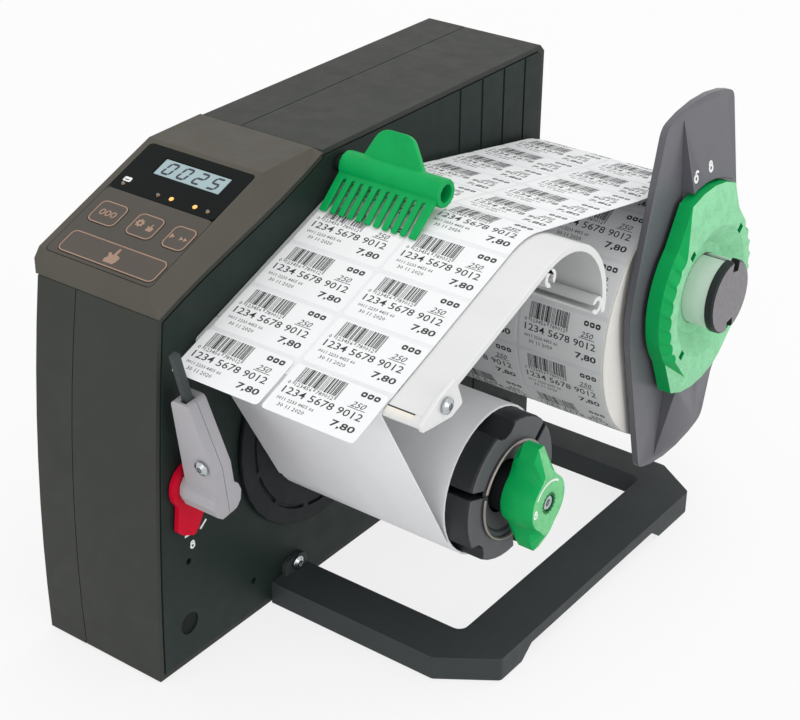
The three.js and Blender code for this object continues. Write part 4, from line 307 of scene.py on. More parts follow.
@dataclass
class Shape:
    """A mesh in the making, in millimetres of the machine frame. Most methods return the shape itself."""

    mesh: BMesh = field(default_factory=bmesh.new)

    def prism(self, corners: list[Point], start: float, end: float, hole: list[Point] | None = None) -> Self:
        """Adds a closed prism over an outline on the XY plane.

        Args:
            corners: The outline's corners.
            start: Where the prism starts on Z.
            end: Where it ends.
            hole: The corners of a hole through it, as many.

        Returns:
            The shape itself.
        """
        loops = [corners, hole] if hole else [corners]
        faces = [self.mesh.faces.new([self.mesh.verts.new((u, v, start)) for u, v in loop]) for loop in loops]
        if hole:
            edges = [edge for face in faces for edge in face.edges]
            bmesh.ops.delete(self.mesh, geom=faces, context="FACES_ONLY")
            faces = bmesh.ops.bridge_loops(self.mesh, edges=edges)["faces"]
        grown = bmesh.ops.extrude_face_region(self.mesh, geom=faces, use_keep_orig=True)["geom"]
        bmesh.ops.translate(self.mesh, verts=[v for v in grown if isinstance(v, BMVert)], vec=(0, 0, end - start))
        return self.outward()

    def turned(self, profile: list[Point], axis: Point, steps: int) -> Self:
        """Adds a body turned round an axis along X.

        Args:
            profile: Corners as place on X and radius, closed on itself or from axis to axis.
            axis: The axis's place on Y and Z.
            steps: The steps of a full turn.

        Returns:
            The shape itself.
        """
        verts = [self.mesh.verts.new((x, axis[0] + r, axis[1])) for x, r in profile]
        closed = profile[0][1] > 0
        edges = [self.mesh.edges.new(pair) for pair in zip(verts, verts[1:] + verts[:closed])]
        self.spun([*verts, *edges], (0, *axis), 360, steps)
        bmesh.ops.remove_doubles(self.mesh, verts=self.mesh.verts, dist=1e-4)
        return self.outward()

    def spun(self, geometry: list, centre: Triple, angle: float, steps: int) -> None:
        """Sweeps vertices and edges by an angle in degrees round an axis along X through a centre."""
        way = {"cent": centre, "axis": OUTWARD, "angle": math.radians(angle), "steps": steps}
        bmesh.ops.spin(self.mesh, geom=geometry, use_merge=angle == 360, use_duplicate=False, **way)

    def digits(self, line: Line, start: float, end: float) -> Self:
        """Adds a line of raised digits that fills its box on the XY plane.

        Args:
            line: The digits and their box.
            start: Where their foot lies on Z.
            end: Where their face lies.

        Returns:
            The shape itself.
        """
        curve = bpy.data.curves.new("digits", "FONT")
        curve.body, curve.resolution_u, curve.extrude = line.text, line.steps, 0.5
        curve.offset, curve.shear = line.bold, line.slant
        flat = bpy.data.meshes.new_from_object(bpy.data.objects.new("digits", curve))
        x, y = ([v.co[axis] for v in flat.vertices] for axis in (0, 1))
        across, up = (line.right - line.left) / (max(x) - min(x)), (line.top - line.foot) / (max(y) - min(y))
        flat.transform(Matrix.Diagonal((across, up, end - start, 1)) @ Matrix.Translation((-min(x), -min(y), 0)))
        flat.transform(Matrix.Translation((line.left, line.foot, (start + end) / 2)))
        bmesh.ops.remove_doubles(self.mesh, verts=self.add(flat), dist=1e-4)
        bpy.data.meshes.remove(flat)
        return self

    def add(self, data: Mesh) -> list[BMVert]:
        """Adds a copy of a mesh.

        Args:
            data: The mesh.

        Returns:
            The new vertices.
        """
        first = len(self.mesh.verts)
        self.mesh.from_mesh(data)
        self.mesh.verts.ensure_lookup_table()
        return self.mesh.verts[first:]

    def sliced(self, axis: int, step: float) -> Self:
        """Cuts the mesh across at even steps, so that it can bend.

        Args:
            axis: The axis that the cuts follow each other along.
            step: The distance between two cuts.

        Returns:
            The shape itself.
        """
        places = [v.co[axis] for v in self.mesh.verts]
        low, high = min(places), max(places)
        normal = Vector([float(i == axis) for i in range(3)])
        for i in range(1, math.ceil((high - low) / step)):
            geometry = [*self.mesh.verts, *self.mesh.edges, *self.mesh.faces]
            bmesh.ops.bisect_plane(self.mesh, geom=geometry, plane_co=normal * (low + i * step), plane_no=normal)
        return self

    def outward(self) -> Self:
        """Points every face outwards."""
        bmesh.ops.recalc_face_normals(self.mesh, faces=self.mesh.faces)
        return self

    def soften(self, width: float, segments: int, sharp: float, clamp: bool = False) -> Self:
        """Rounds the sharp edges.

        Args:
            width: The bevel's width.
            segments: Its facets.
            sharp: The angle in degrees from which an edge counts as sharp.
            clamp: Whether the bevel gives way where edges are short.

        Returns:
            The shape itself.
        """
        limit = math.radians(sharp)
        edges = [e for e in self.mesh.edges if len(e.link_faces) == 2 and e.calc_face_angle(0.0) > limit]
        bmesh.ops.bevel(
            self.mesh, geom=edges, offset=width, offset_type="OFFSET", affect="EDGES", segments=segments,
            profile=0.5, material=-1, clamp_overlap=clamp, loop_slide=True,
        )
        return self

    def moved(self, matrix: Matrix) -> Self:
        """Moves the whole shape."""
        bmesh.ops.transform(self.mesh, matrix=matrix, verts=self.mesh.verts)
        return self

    def draped(self, node: str, place: Matrix = SIDE) -> Self:
        """Moves a flat mark to its place and lays it on a CAD node's surface.

        Args:
            node: The node that carries the mark.
            place: The frame that the mark is drawn in, with its third axis out of the surface.

        Returns:
            The shape itself.
        """
        carrier = node_shape(node)
        tree = BVHTree.FromBMesh(carrier.mesh)
        centre, normal = place.translation, place.col[2].xyz
        for vert in self.moved(place).mesh.verts:
            height = (vert.co - centre).dot(normal)
            hit, _, _, _ = tree.ray_cast(vert.co + normal * (DRAPE_REACH - height), -normal)
            if hit:
                vert.co += normal * (hit - centre).dot(normal)
        carrier.mesh.free()
        return self

    def data(self, name: str) -> Mesh:
        """Turns the shape into mesh data.

        Args:
            name: The data's name.

        Returns:
            The mesh data.
        """
        data = bpy.data.meshes.new(name)
        self.mesh.to_mesh(data)
        self.mesh.free()
        return data

    def finish(self, name: str, body: str, slot: str, *finishes: Finish, smooth: float = 40.0) -> Object:
        """Turns the shape into a piece of the scene.

        Args:
            name: The piece's name.
            body: The CAD body that it rides on.
            slot: The record's material slot; not used.
            finishes: Its surface finishes, the main one first.
            smooth: Edges flatter than this angle in degrees are shaded smooth.

        Returns:
            The piece's object.
        """
        data = self.moved(TO_ROW).data(name)
        data.polygons.foreach_set("use_smooth", [True] * len(data.polygons))
        data.set_sharp_from_angle(angle=math.radians(smooth))
        for finish in finishes:
            data.materials.append(finish.build())
        piece = add_object(name, data)
        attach(piece, body)
        log.info("%s: %d faces, rides on %s", name, len(data.polygons), body)
        return piece


def node_shape(node: str) -> Shape:
    """Copies a CAD node's mesh, merged and with its flat faces joined.

    Args:
        node: The CAD node.

    Returns:
        The copy, in millimetres of the machine frame.
    """
    shape = Shape()
    shape.mesh.from_mesh(frame["nodes"][node].data)
    bmesh.ops.remove_doubles(shape.mesh, verts=shape.mesh.verts, dist=1e-6)
    bmesh.ops.dissolve_limit(
        shape.mesh, angle_limit=math.radians(0.4), use_dissolve_boundaries=False, verts=shape.mesh.verts,
        edges=shape.mesh.edges, delimit=set(),
    )
    for face in shape.mesh.faces:
        face.material_index = 0
    return shape.moved(TO_ROW.inverted())


def node_range(node: str, axis: int) -> Point:
    """A CAD node's lowest and highest place on an axis."""
    low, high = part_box(node)
    return (low[axis] - ORIGIN[axis]) / MM, (high[axis] - ORIGIN[axis]) / MM


class Part(NamedTuple):
    """CAD nodes with one finish, whose copies have rounded edges and, where a face finish is given, a lighter copy of
    the finish on the outermost +X faces as painted light.
    """

    nodes: str
    finish: Finish
    width: float = 0.0
    segments: int = 2
    sharp: float = 32.0
    clamp: bool = False
    # The face finish is a lighter copy of the main one for the outermost +X faces, beyond a share of the node's length:
    # painted light.
    face: Finish | None = None
    painted_light_share: float = 0.5

    def build(self) -> None:
        """Dresses the nodes and rounds those whose bevel has a width."""
        for node in self.nodes.split():
            data = frame["nodes"][node].data
            data.materials.clear()
            data.materials.append(self.finish.build())
            if self.width:
                self._round(node)

    def _round(self, node: str) -> None:
        """Stands a copy with rounded edges in a node's place, with painted light on its outermost +X faces where the
        part has a face finish.

        Args:
            node: The CAD node.
        """
        shape, finishes = node_shape(node).soften(self.width, self.segments, self.sharp, self.clamp), [self.finish]
        if self.face:
            finishes.append(self.face)
            low, high = node_range(node, 0)
            painted_light_start = low + self.painted_light_share * (high - low)
            for face in shape.mesh.faces:
                # Faces turned to +X beyond that share take the face finish: painted light.
                face.material_index = int(face.normal.dot(OUTWARD) > 0.8 and face.calc_center_median().x > painted_light_start)
        piece = shape.finish(f"{node}_rounded", NODE_BODY[node], NODE_SLOT[node], *finishes)
        piece.modifiers.new("even shading", "WEIGHTED_NORMAL").keep_sharp = True
        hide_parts(node)


def polar(radius: float, angle: float, centre: Point) -> Point:
    """The point at a radius and an angle in degrees round a centre."""
    way = math.radians(angle)
    return centre[0] + radius * math.cos(way), centre[1] + radius * math.sin(way)


def arc(centre: Point, radius: float, start: float, end: float, steps: int) -> list[Point]:
    """Points on an arc between two angles in degrees, both included."""
    return [polar(radius, start + (end - start) * i / steps, centre) for i in range(steps + 1)]


def circle(centre: Point, radius: float, steps: int = 24) -> list[Point]:
    """Points on a full circle."""
    return arc(centre, radius, 0, 360, steps)[:-1]


def box(left: float, right: float, low: float, high: float) -> list[Point]:
    """A rectangle's corners."""
    return [(left, low), (right, low), (right, high), (left, high)]


def rounded_box(left: float, right: float, low: float, high: float, radius: float, steps: int = 5) -> list[Point]:
    """A rectangle's outline with rounded corners of some steps each."""
    middles = enumerate(box(left + radius, right - radius, low + radius, high - radius))
    return [point for i, middle in middles for point in arc(middle, radius, 90 * i - 180, 90 * i - 90, steps)]


def arc_band(centre: Point, radius: float, width: float, start: float, end: float, steps: int = 14) -> list[Point]:
    """The outline of a bent stripe of a width, whose middle has a radius, between two angles in degrees."""
    outer, inner = (arc(centre, radius + half, start, end, steps) for half in (width / 2, -width / 2))
    return [*outer, *reversed(inner)]


@dataclass
class Padlock:
    """A small printed padlock."""

    place: Point
    size: float = 3.4
    opened: bool = False

    def add_to(self, shape: Shape) -> None:
        """Adds the body, its keyhole and the shackle to a shape.

        Args:
            shape: The shape.
        """
        radius = self.size * 0.5
        shape.prism(circle(self.place, radius), *MARK, circle(self.place, radius * 0.42))
        lean, span = (self.size * 0.32, (15, 200)) if self.opened else (0.0, (-8, 188))
        bow = (self.place[0] + lean, self.place[1] + radius * 0.86)
        shape.prism(arc_band(bow, radius * 0.62, self.size * 0.26, *span), *MARK)


Parts = tuple[Part, ...]


@dataclass
class Assembly:
    """A sub-assembly: the CAD nodes that it dresses, and what only the scene shows."""

    parts: Parts = ()

    def build(self) -> None:
        """Dresses and rounds the nodes and adds what only the scene shows."""
        for part in self.parts:
            part.build()
        self.add_details()

    def add_details(self) -> None:
        """Adds the pieces that only the scene shows."""


@dataclass
class Housing(Assembly):
    """The painted covers and the side plate, with the mains inlet and what is mounted inside."""

    parts: Parts = (
        Part("side_plate", PLATE_PAINT, 0.2),
        Part("housing_left_cover housing_main_cover", COVER_PAINT, 0.4, clamp=True),
        Part("mains_inlet", BLACK, 0.4), Part("power_switch", RED, 0.5), Part("motor", ALUMINIUM, 0.6),
        Part("motor_pulley", ALUMINIUM, 0.25), Part("rewinder_pulley", DARK, 0.3), Part("inner_frame", STEEL, 0.4),
        Part("rewinder_bearing rewinder_spindle", STEEL), Part("drive_belt", RUBBER), Part("main_board", BOARD),
    )
    plug_place: Point = (20.2, 24.2)
    plug_radius: float = 5.95
    lock_place: Point = (25.1, 67.1)
    lever_marks: tuple[tuple[Point, ...], ...] = (
        ((30.4, 73.9), (31.3, 73.0), (35.6, 76.3), (34.8, 77.2)),
        ((20.2, 74.9), (20.2, 73.8), (23.3, 73.8), (23.3, 74.9)),
    )
    socket_height: float = 21.0
    pins: tuple[Point, ...] = ((-7.0, -2.0), (7.0, -2.0), (0.0, 2.0))
    pin_depths: Point = (4.0, 16.0)

    def add_details(self) -> None:
        """Prints the lever's padlock and end marks and adds the inlet's pins and the plate's plug."""
        shape = Shape()
        Padlock(self.lock_place).add_to(shape)
        for corners in self.lever_marks:
            shape.prism(corners, *MARK)
        shape.draped("side_plate").finish("plate_marks", "machine", "plate_paint", WHITE_MARK)
        self._pins()
        plug = Shape().prism(circle(self.plug_place, self.plug_radius, 32), -1.05, -0.8).soften(0.08, 1, 60)
        plug.moved(SIDE).finish("plate_plug", "machine", "plate_paint", PLUG)

    def _pins(self) -> None:
        """Stands three flat pins in the mains inlet."""
        middle, socket = sum(node_range("mains_inlet", 0)) / 2, node_range("mains_inlet", 2)[0] + self.socket_height
        shape = Shape()
        for x, z in self.pins:
            x, z = middle + x, socket + z
            shape.prism(rounded_box(x - 1, x + 1, z - 2, z + 2, 0.4, 2), *self.pin_depths)
        shape.soften(0.25, 1, 60).moved(Matrix.Translation((0, HOUSING_BACK, 0)) @ turn(90, "X"))
        shape.finish("inlet_pins", "machine", "steel", STEEL)


@dataclass
class ControlPanel(Assembly):
    """The sloping panel with its keys, lights and display, drawn with X across and Y up the slope."""

    parts: Parts = (
        Part("control_panel", PANEL_PLASTIC, 0.5, sharp=20, clamp=True), Part("keypad_foil", FOIL, 0.15, 1, clamp=True),
        Part("display_window", WINDOW, 0.12, 1, clamp=True), Part(KEYS, KEY_FOIL, 0.12, 1, clamp=True),
        Part("lcd_glass", LCD), Part("light_guide", AMBER), Part("control_board", BOARD),
    )
    slope: float = 21.54
    foil_end: float = 62.0
    key_top: float = 0.25
    key_ink: Point = (0.2, 0.31)
    line_edges: tuple[Point, ...] = ((0.15, 3.2), (0.75, 2.7))
    hand: tuple[Point, ...] = (
        (-4.0, -1.4), (-2.9, 0.2), (-4.2, 2.2), (-3.3, 2.9), (-1.0, 1.6), (-0.7, 5.6), (0.1, 6.3), (0.7, 5.6),
        (0.7, 2.2), (1.2, 2.2), (2.2, 2.0), (3.5, 1.2), (3.3, -1.4), (2.2, -3.2), (-3.4, -3.2),
    )
    lights: tuple[tuple[float, Finish], ...] = (
        (-67.22, GREY_LIGHT), (-44.97, GREY_LIGHT), (-36.57, AMBER), (-22.1, AMBER), (-14.4, GREY_LIGHT),
    )
    light_row: float = 66.4
    number: str = "0025"
    digit_place: Point = (-55.1, 78.8)
    digit_pitch: float = 9.4
    digit_size: Point = (5.6, 8.3)
    stroke: float = 1.15
    gap: float = 0.08
    lean: float = 0.25
    digit_ink: Point = (-0.45, -0.34)

    def add_details(self) -> None:
        """Adds the print of the keys, the lights and the digits."""
        self._keys()
        self._lights()
        self._digits()

    def _place(self) -> Matrix:
        """The panel's frame in the machine's."""
        foot = node_range("keypad_foil", 2)[1] - self.foil_end * math.sin(math.radians(self.slope))
        return Matrix.Translation((0, 0, foot)) @ turn(self.slope, "X")

    def _keys(self) -> None:
        """Prints the copper line round each key and its picture: zeros, a wheel and a hand, arrows or a hand."""
        slope, ink = math.radians(self.slope), self.key_ink
        rise = math.sin(slope) * self.key_top
        arrows = [[(x, r), (x, -r), (x + 1.5 * r, 0)] for x, r in ((-5.2, 1.6), (0.4, 1.3), (2.7, 1.3))]
        pictures = ([], [self._hand(3.4, -0.6, 0.5)], arrows, [self._hand(1.4, -1.4, 1.0)])
        for node, picture in zip(KEYS.split(), pictures):
            left, right = node_range(node, 0)
            low, high = ((y + rise) / math.cos(slope) for y in node_range(node, 1))
            across, up = (right - left) / 2, (high - low) / 2
            edges = [rounded_box(e - across, across - e, e - up, up - e, r) for e, r in self.line_edges]
            shape = Shape().prism(edges[0], *ink, edges[1])
            for corners in picture:
                shape.prism(corners, *ink)
            if node == "key_clear":
                shape.digits(Line("000", -5.0, 5.0, -1.9, 1.9, bold=0.01, steps=3), *ink)
            if node == "key_mode":
                hub = (-3.8, 0.9)
                teeth = [polar(2.5 if i % 4 < 2 else 1.9, 11.25 * i, hub) for i in range(32)]
                shape.prism(teeth, *ink, circle(hub, 0.8, 32))
            shape.moved(self._place() @ Matrix.Translation((left + across, low + up, 0)))
            shape.finish(f"{node}_print", NODE_BODY[node], "key_foil", KEY_LINE)

    def _hand(self, x: float, y: float, size: float) -> list[Point]:
        """A fist with a finger that points up, its middle at (x, y), as a share of the large hand."""
        return [(x + size * u, y + size * v) for u, v in self.hand]

    def _lights(self) -> None:
        """Sets the small lenses in the window's lower edge and prints the picture of the first."""
        for i, (x, kind) in enumerate(self.lights):
            r = 1.2 if kind is AMBER else 0.85
            profile = [(-0.15, 0.0), (-0.15, r), (0.15, r), (0.42, 0.76 * r), (0.55, 0.4 * r), (0.6, 0.0)]
            place = self._place() @ Matrix.Translation((x, self.light_row, 0)) @ turn(-90, "Y")
            lens = Shape().turned(profile, (0, 0), 24).moved(place)
            lens.finish(f"light_lens_{i + 1}", "machine", "light_guide", kind, smooth=80)
        hole = rounded_box(-68.2, -65.4, 68.8, 69.4, 0.2)
        icon = Shape().prism(rounded_box(-69.0, -64.4, 67.9, 70.8, 0.8), -0.05, 0.06, hole)
        icon.moved(self._place()).finish("roll_picture", "machine", "window", WHITE_MARK)

    def _digits(self) -> None:
        """Builds the display's digits from slanted bars between six joints, three up each side."""
        tip = self.stroke / 2
        width, height = self.digit_size
        across, up = (tip, width - tip), (tip, height / 2, height - tip)
        bars = {"a": "0212", "b": "1112", "c": "1011", "d": "0010", "e": "0001", "f": "0102", "g": "0111"}
        lit = {"0": "abcdef", "2": "abged", "5": "afgcd"}
        shape = Shape()
        for i, digit in enumerate(self.number):
            left, foot = self.digit_place[0] + i * self.digit_pitch, self.digit_place[1]
            for bar in lit[digit]:
                a, b, c, d = (int(joint) for joint in bars[bar])
                first, last = Vector((across[a], up[b])), Vector((across[c], up[d]))
                along = (last - first).normalized()
                point, shoulder, side = along * self.gap, along * (self.gap + tip), along.orthogonal() * tip
                corners = [
                    first + point, first + shoulder - side, last - shoulder - side, last - point,
                    last - shoulder + side, first + shoulder + side,
                ]
                shape.prism([(left + u + self.lean * v, foot + v) for u, v in corners], *self.digit_ink)
        shape.moved(self._place()).finish("display_digits", "machine", "lcd", SEGMENTS)


@dataclass
class Rewinder(Assembly):
    """The hub that winds up the empty liner, with its clamping knob."""

    parts: Parts = (
        Part("hub_segment_1 hub_segment_2 hub_segment_3", DARK, 0.7, face=DARK_PAINTED_LIGHT),
        Part("rewinder_core", CORE_DARK, 0.35), Part("clamp_knob", GREEN, 1.1, 3, 24, True, face=KNOB_PAINTED_LIGHT),
        Part("knob_screw", STEEL, 0.3, clamp=True), Part("wound_liner", LINER_PAPER, 0.15, 1),
        Part("retaining_spring", STEEL),
    )
    axis: Point = (118.5, 97.5)
    face: float = 138.5
    spring_reach: float = 24.6
    spring_wire: float = 0.85
    spring_sweep: Point = (165, 519)
    mouth: tuple[Point, ...] = ((117.3, 23.5), (113.6, 13.4), (112.8, 13.4), (116.4, 23.5))
    screw_head: tuple[Point, ...] = (
        (-1.9, 0.0), (-1.9, 1.5), (-0.5, 1.8), (-0.2, 2.5), (-0.3, 3.3), (-0.8, 3.9), (-2.0, 4.0), (-2.0, 0.0),
    )

    def add_details(self) -> None:
        """Adds the spring, the hub's mouth in a painted-light tone, the knob's star as painted shade of its recess, its
        screw head, and the marks on it.
        """
        self._spring()
        # The hub's mouth takes the lighter dark tone made for faces turned to +X: painted light.
        Shape().turned(self.mouth, self.axis, 72).finish("hub_mouth", "rewinder", "dark", DARK_PAINTED_LIGHT)
        # The star is a thin dark green sheet standing in for the knob's star-shaped recess: painted shade.
        star = [polar((5.9, 4.9)[i % 2], 11.25 * i, self.axis) for i in range(32)]
        shape = Shape().prism(star, self.face - 0.2, self.face + 0.1, circle(self.axis, 4.1, 32))
        shape.moved(SIDE).finish("knob_star_painted_shade", "knob", "green", GREEN_PAINTED_SHADE)
        head = Shape().turned([(self.face + x, radius) for x, radius in self.screw_head], self.axis, 24)
        head.finish("knob_screw_head", "knob", "steel", STEEL)
        shape = Shape().prism(arc_band(self.axis, 11.6, 1.0, 50, 150), *MARK)
        Padlock((self.axis[0] - 11.0, self.axis[1] - 1.6), 3.2).add_to(shape)
        shape.draped("clamp_knob").finish("knob_marks", "knob", "green", WHITE_MARK)

    def _spring(self) -> None:
        """Bends the retaining spring, open where its ends meet, round the hub's hollow mouth."""
        centre = (sum(node_range("retaining_spring", 0)) / 2, *self.axis)
        start, end = self.spring_sweep
        place = Matrix.Translation(centre) @ turn(start, "X") @ Matrix.Translation((0, self.spring_reach, 0))
        shape = Shape()
        bmesh.ops.create_circle(shape.mesh, cap_ends=False, radius=self.spring_wire, segments=10, matrix=place)
        shape.spun([*shape.mesh.verts, *shape.mesh.edges], centre, end - start, 120)
        bmesh.ops.holes_fill(shape.mesh, edges=[e for e in shape.mesh.edges if e.is_boundary], sides=0)
        piece = shape.outward().finish("retaining_spring_open", "rewinder", "steel", SPRING, smooth=60)
        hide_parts("retaining_spring")


@dataclass(frozen=True)
class WebPath:
    """The way of the label web: over the table, round its arch, back to the roll and round it."""

    front: Point = (33.5, 174.5)
    slope: float = 21.06
    flat: float = 102.5
    lift: float = 0.8
    arch_radius: float = 40.6
    roll: Point = (287.7, 117.9)
    roll_radius: float = 69.8

    def table_point(self, u: float, v: float) -> Point:
        """A point of the table frame, u along the table and v out of it, on the YZ plane."""
        return polar(v, self.slope + 90, polar(u, self.slope, self.front))

    def _arch(self) -> Point:
        """The centre of the table's arch."""
        return self.table_point(self.flat, self.lift - self.arch_radius)

    def _span(self) -> Vector:
        """The way from the arch's centre to the roll's."""
        return Vector(self.roll) - Vector(self._arch())

    def _leaving(self) -> float:
        """The angle in degrees of the straight stretch's normal, between the arch and the roll."""
        span = self._span()
        opening = math.acos((self.arch_radius - self.roll_radius) / span.length)
        return math.degrees(math.atan2(span.y, span.x) + opening)

    def lengths(self) -> Triple:
        """The lengths of the web at the arch's start, at its end and where the roll starts."""
        arch_end = self.flat + math.radians(self.slope + 90 - self._leaving()) * self.arch_radius
        straight = math.sqrt(self._span().length_squared - (self.roll_radius - self.arch_radius) ** 2)
        return self.flat, arch_end, arch_end + straight

    def point(self, s: float, height: float) -> Point:
        """A point on or over the web.

        Args:
            s: The length along the web from the peel edge.
            height: The height over the web's upper face.

        Returns:
            The point on the YZ plane.
        """
        flat, arch_end, roll_start = self.lengths()
        leaving = self._leaving()
        if s <= flat:
            return self.table_point(s, self.lift + height)
        if s <= arch_end:
            angle = self.slope + 90 - math.degrees((s - flat) / self.arch_radius)
            return polar(self.arch_radius + height, angle, self._arch())
        if s <= roll_start:
            return polar(s - arch_end, leaving - 90, polar(self.arch_radius + height, leaving, self._arch()))
        angle = leaving - math.degrees((s - roll_start) / self.roll_radius)
        return polar(self.roll_radius + height, angle, self.roll)


@dataclass
class LabelPrint:
    """The generic print of one label: bars over their number, lines of digits and a plain badge."""

    left: float = 5.2
    right: float = 28.4
    foot: float = 18.4
    guard_foot: float = 16.7
    top: float = 27.0
    halves: tuple[str, str] = ("123456", "789012")
    underline: tuple[float, ...] = (35.4, 44.6, 16.1, 16.4)
    squares: tuple[Point, ...] = ((37.2, 40.0), (40.6, 43.4), (44.0, 46.8))
    lines: tuple[Line, ...] = (
        Line("0", 2.6, 4.1, 16.0, 18.0), Line("123456", 6.6, 15.6, 16.0, 18.0),
        Line("789012", 18.0, 27.2, 16.0, 18.0), Line("250", 36.2, 43.6, 16.9, 19.9, slant=0.3, steps=2),
        Line("1234 5678 9012", 3.2, 45.6, 10.9, 14.8, bold=0.004, steps=2),
        Line("0011 2233 4455 66", 3.3, 23.4, 7.1, 8.8), Line("30 11 2020", 6.2, 20.4, 3.7, 5.7),
        Line("7,80", 34.2, 46.6, 3.6, 7.7, bold=0.022, steps=2),
    )
    code: str = "0001101 0011001 0010011 0111101 0100011 0110001 0101111 0111011 0110111 0001011"

    def _modules(self) -> str:
        """The bars and gaps as ones and zeros, one module each."""
        first, second = ("".join(self.code.split()[int(digit)] for digit in half) for half in self.halves)
        return f"101{first}01010{second.translate(str.maketrans('01', '10'))}101"

    def master(self) -> Mesh:
        """Builds the print once: X across, Y up the label, Z its height.

        Returns:
            The mesh that every label copies.
        """
        shape, modules = Shape(), self._modules()
        width = (self.right - self.left) / len(modules)
        guards = {0, 2, 46, 48, 92, 94}
        at = 0
        while at < len(modules):
            run = len(modules[at:]) - len(modules[at:].lstrip(modules[at]))
            if modules[at] == "1":
                foot = self.guard_foot if at in guards else self.foot
                left, right = (self.left + place * width for place in (at, at + run))
                shape.prism(box(left, right, foot, self.top), *LABEL_INK)
            at += run
        for start, end in self.squares:
            inner = rounded_box(start + 0.8, end - 0.8, 24.1, 25.0, 0.3, 3)
            shape.prism(rounded_box(start, end, 23.2, 25.9, 0.9, 3), *LABEL_INK, inner)
        shape.prism(box(*self.underline), *LABEL_INK)
        shape.sliced(1, 3.4)
        for line in self.lines:
            shape.digits(line, *LABEL_INK)
        return shape.data("label_print")


@dataclass
class LabelTape(Assembly):
    """The liner web with its two columns of labels, from the peel edge to the roll."""

    parts: Parts = (Part("label_web", LINER_PAPER),)
    path: WebPath = WebPath()
    columns: Point = (3.5, 55.5)
    web_end: float = 105.5
    size: Point = (50.0, 28.0)
    pitch: float = 30.3
    overhang: float = 20.5
    corner: float = 2.0
    paper: float = 0.12
    front_lift: float = 0.7
    web_rows: int = 9
    roll_rows: int = 14
    web_thickness: float = 0.3
    web_reach: float = 6.0
    roll_drop: float = 0.5

    def add_details(self) -> None:
        """Builds the web, the labels and their print."""
        self._web()
        label = rounded_box(0, self.size[0], 0, self.size[1], self.corner)
        paper = Shape().prism(label, -0.03, self.paper).sliced(1, 3.5).data("blank_label")
        ink = LabelPrint().master()
        starts = [i * self.pitch - self.overhang for i in range(self.web_rows + self.roll_rows + 1)]
        front, web, roll = starts[:1], starts[1 : self.web_rows + 1], starts[self.web_rows + 1 :]
        groups = (
            ("labels_on_web", "machine", web, paper, 0.0, LABEL_PAPER),
            ("labels_on_roll", "roll", roll, paper, -self.roll_drop, LABEL_PAPER),
            ("front_print", "machine", front, ink, self.front_lift, INK),
            ("web_print", "machine", web, ink, self.paper, INK),
            ("roll_print", "roll", roll, ink, self.paper - self.roll_drop, INK),
        )
        for name, body, rows, master, lift, finish in groups:
            shape = Shape()
            for start in rows:
                for left in self.columns:
                    for vert in shape.add(master):
                        x, y, z = vert.co
                        vert.co = (left + x, *self.path.point(start + y, lift + z))
            shape.finish(name, body, "paper", finish, smooth=25)

    def _web(self) -> None:
        """Lays the liner web over the table, the arch and the roll's top."""
        flat, arch_end, roll_start = self.path.lengths()
        arch = [flat + (arch_end - flat) * i / 16 for i in range(17)]
        places = [0.0, *arch, roll_start, roll_start + self.web_reach / 2, roll_start + self.web_reach]
        top = [self.path.point(s, 0.0) for s in places]
        under = [self.path.point(s, -self.web_thickness) for s in reversed(places)]
        shape = Shape().prism([*top, *under], self.columns[0], self.web_end)
        piece = shape.moved(SIDE).finish("label_web_laid", "machine", "paper", LINER_PAPER)
        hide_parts("label_web")


@dataclass
class DispensingTable(Assembly):
    """The drawn table with its peel edge, and the liner that returns to the rewinder."""

    parts: Parts = (
        Part("table_profile", ALUMINIUM, 0.3), Part("peel_edge", ALUMINIUM, 0.25),
        Part("edge_bracket", ALUMINIUM, 0.35), Part("bracket_screw", STEEL, 0.3, clamp=True),
        Part("liner_return", LINER_PAPER, 0.1, 1, 60),
        Part("label_1 label_2", LABEL_PAPER, 0.08, 1, 60),
    )
    left: float = 105.8
    strips: tuple[tuple[str, Finish, str, float, float, float], ...] = (
        ("table_skin", ALUMINIUM, "aluminium", 5.0, 22.0, 0.5), ("edge_groove", DARK, "dark", 4.3, 4.9, 5.2),
        ("ground_edge", PEEL_METAL, "aluminium", 1.2, 4.2, 5.2),
    )

    def add_details(self) -> None:
        """Carries the profile's bright skin over its joint and ends it in the ground metal edge."""
        path = WebPath()
        place = Matrix.Translation((0, *path.table_point(0, 0))) @ turn(path.slope, "X")
        high = node_range("table_profile", 0)[1]
        for name, finish, slot, start, end, inset in self.strips:
            corners = box(self.left, high - inset, start, end)
            shape = Shape().prism(corners, -0.1, 0.15).sliced(0, 4.0).draped("peel_edge", place)
            shape.finish(name, "machine", slot, finish)


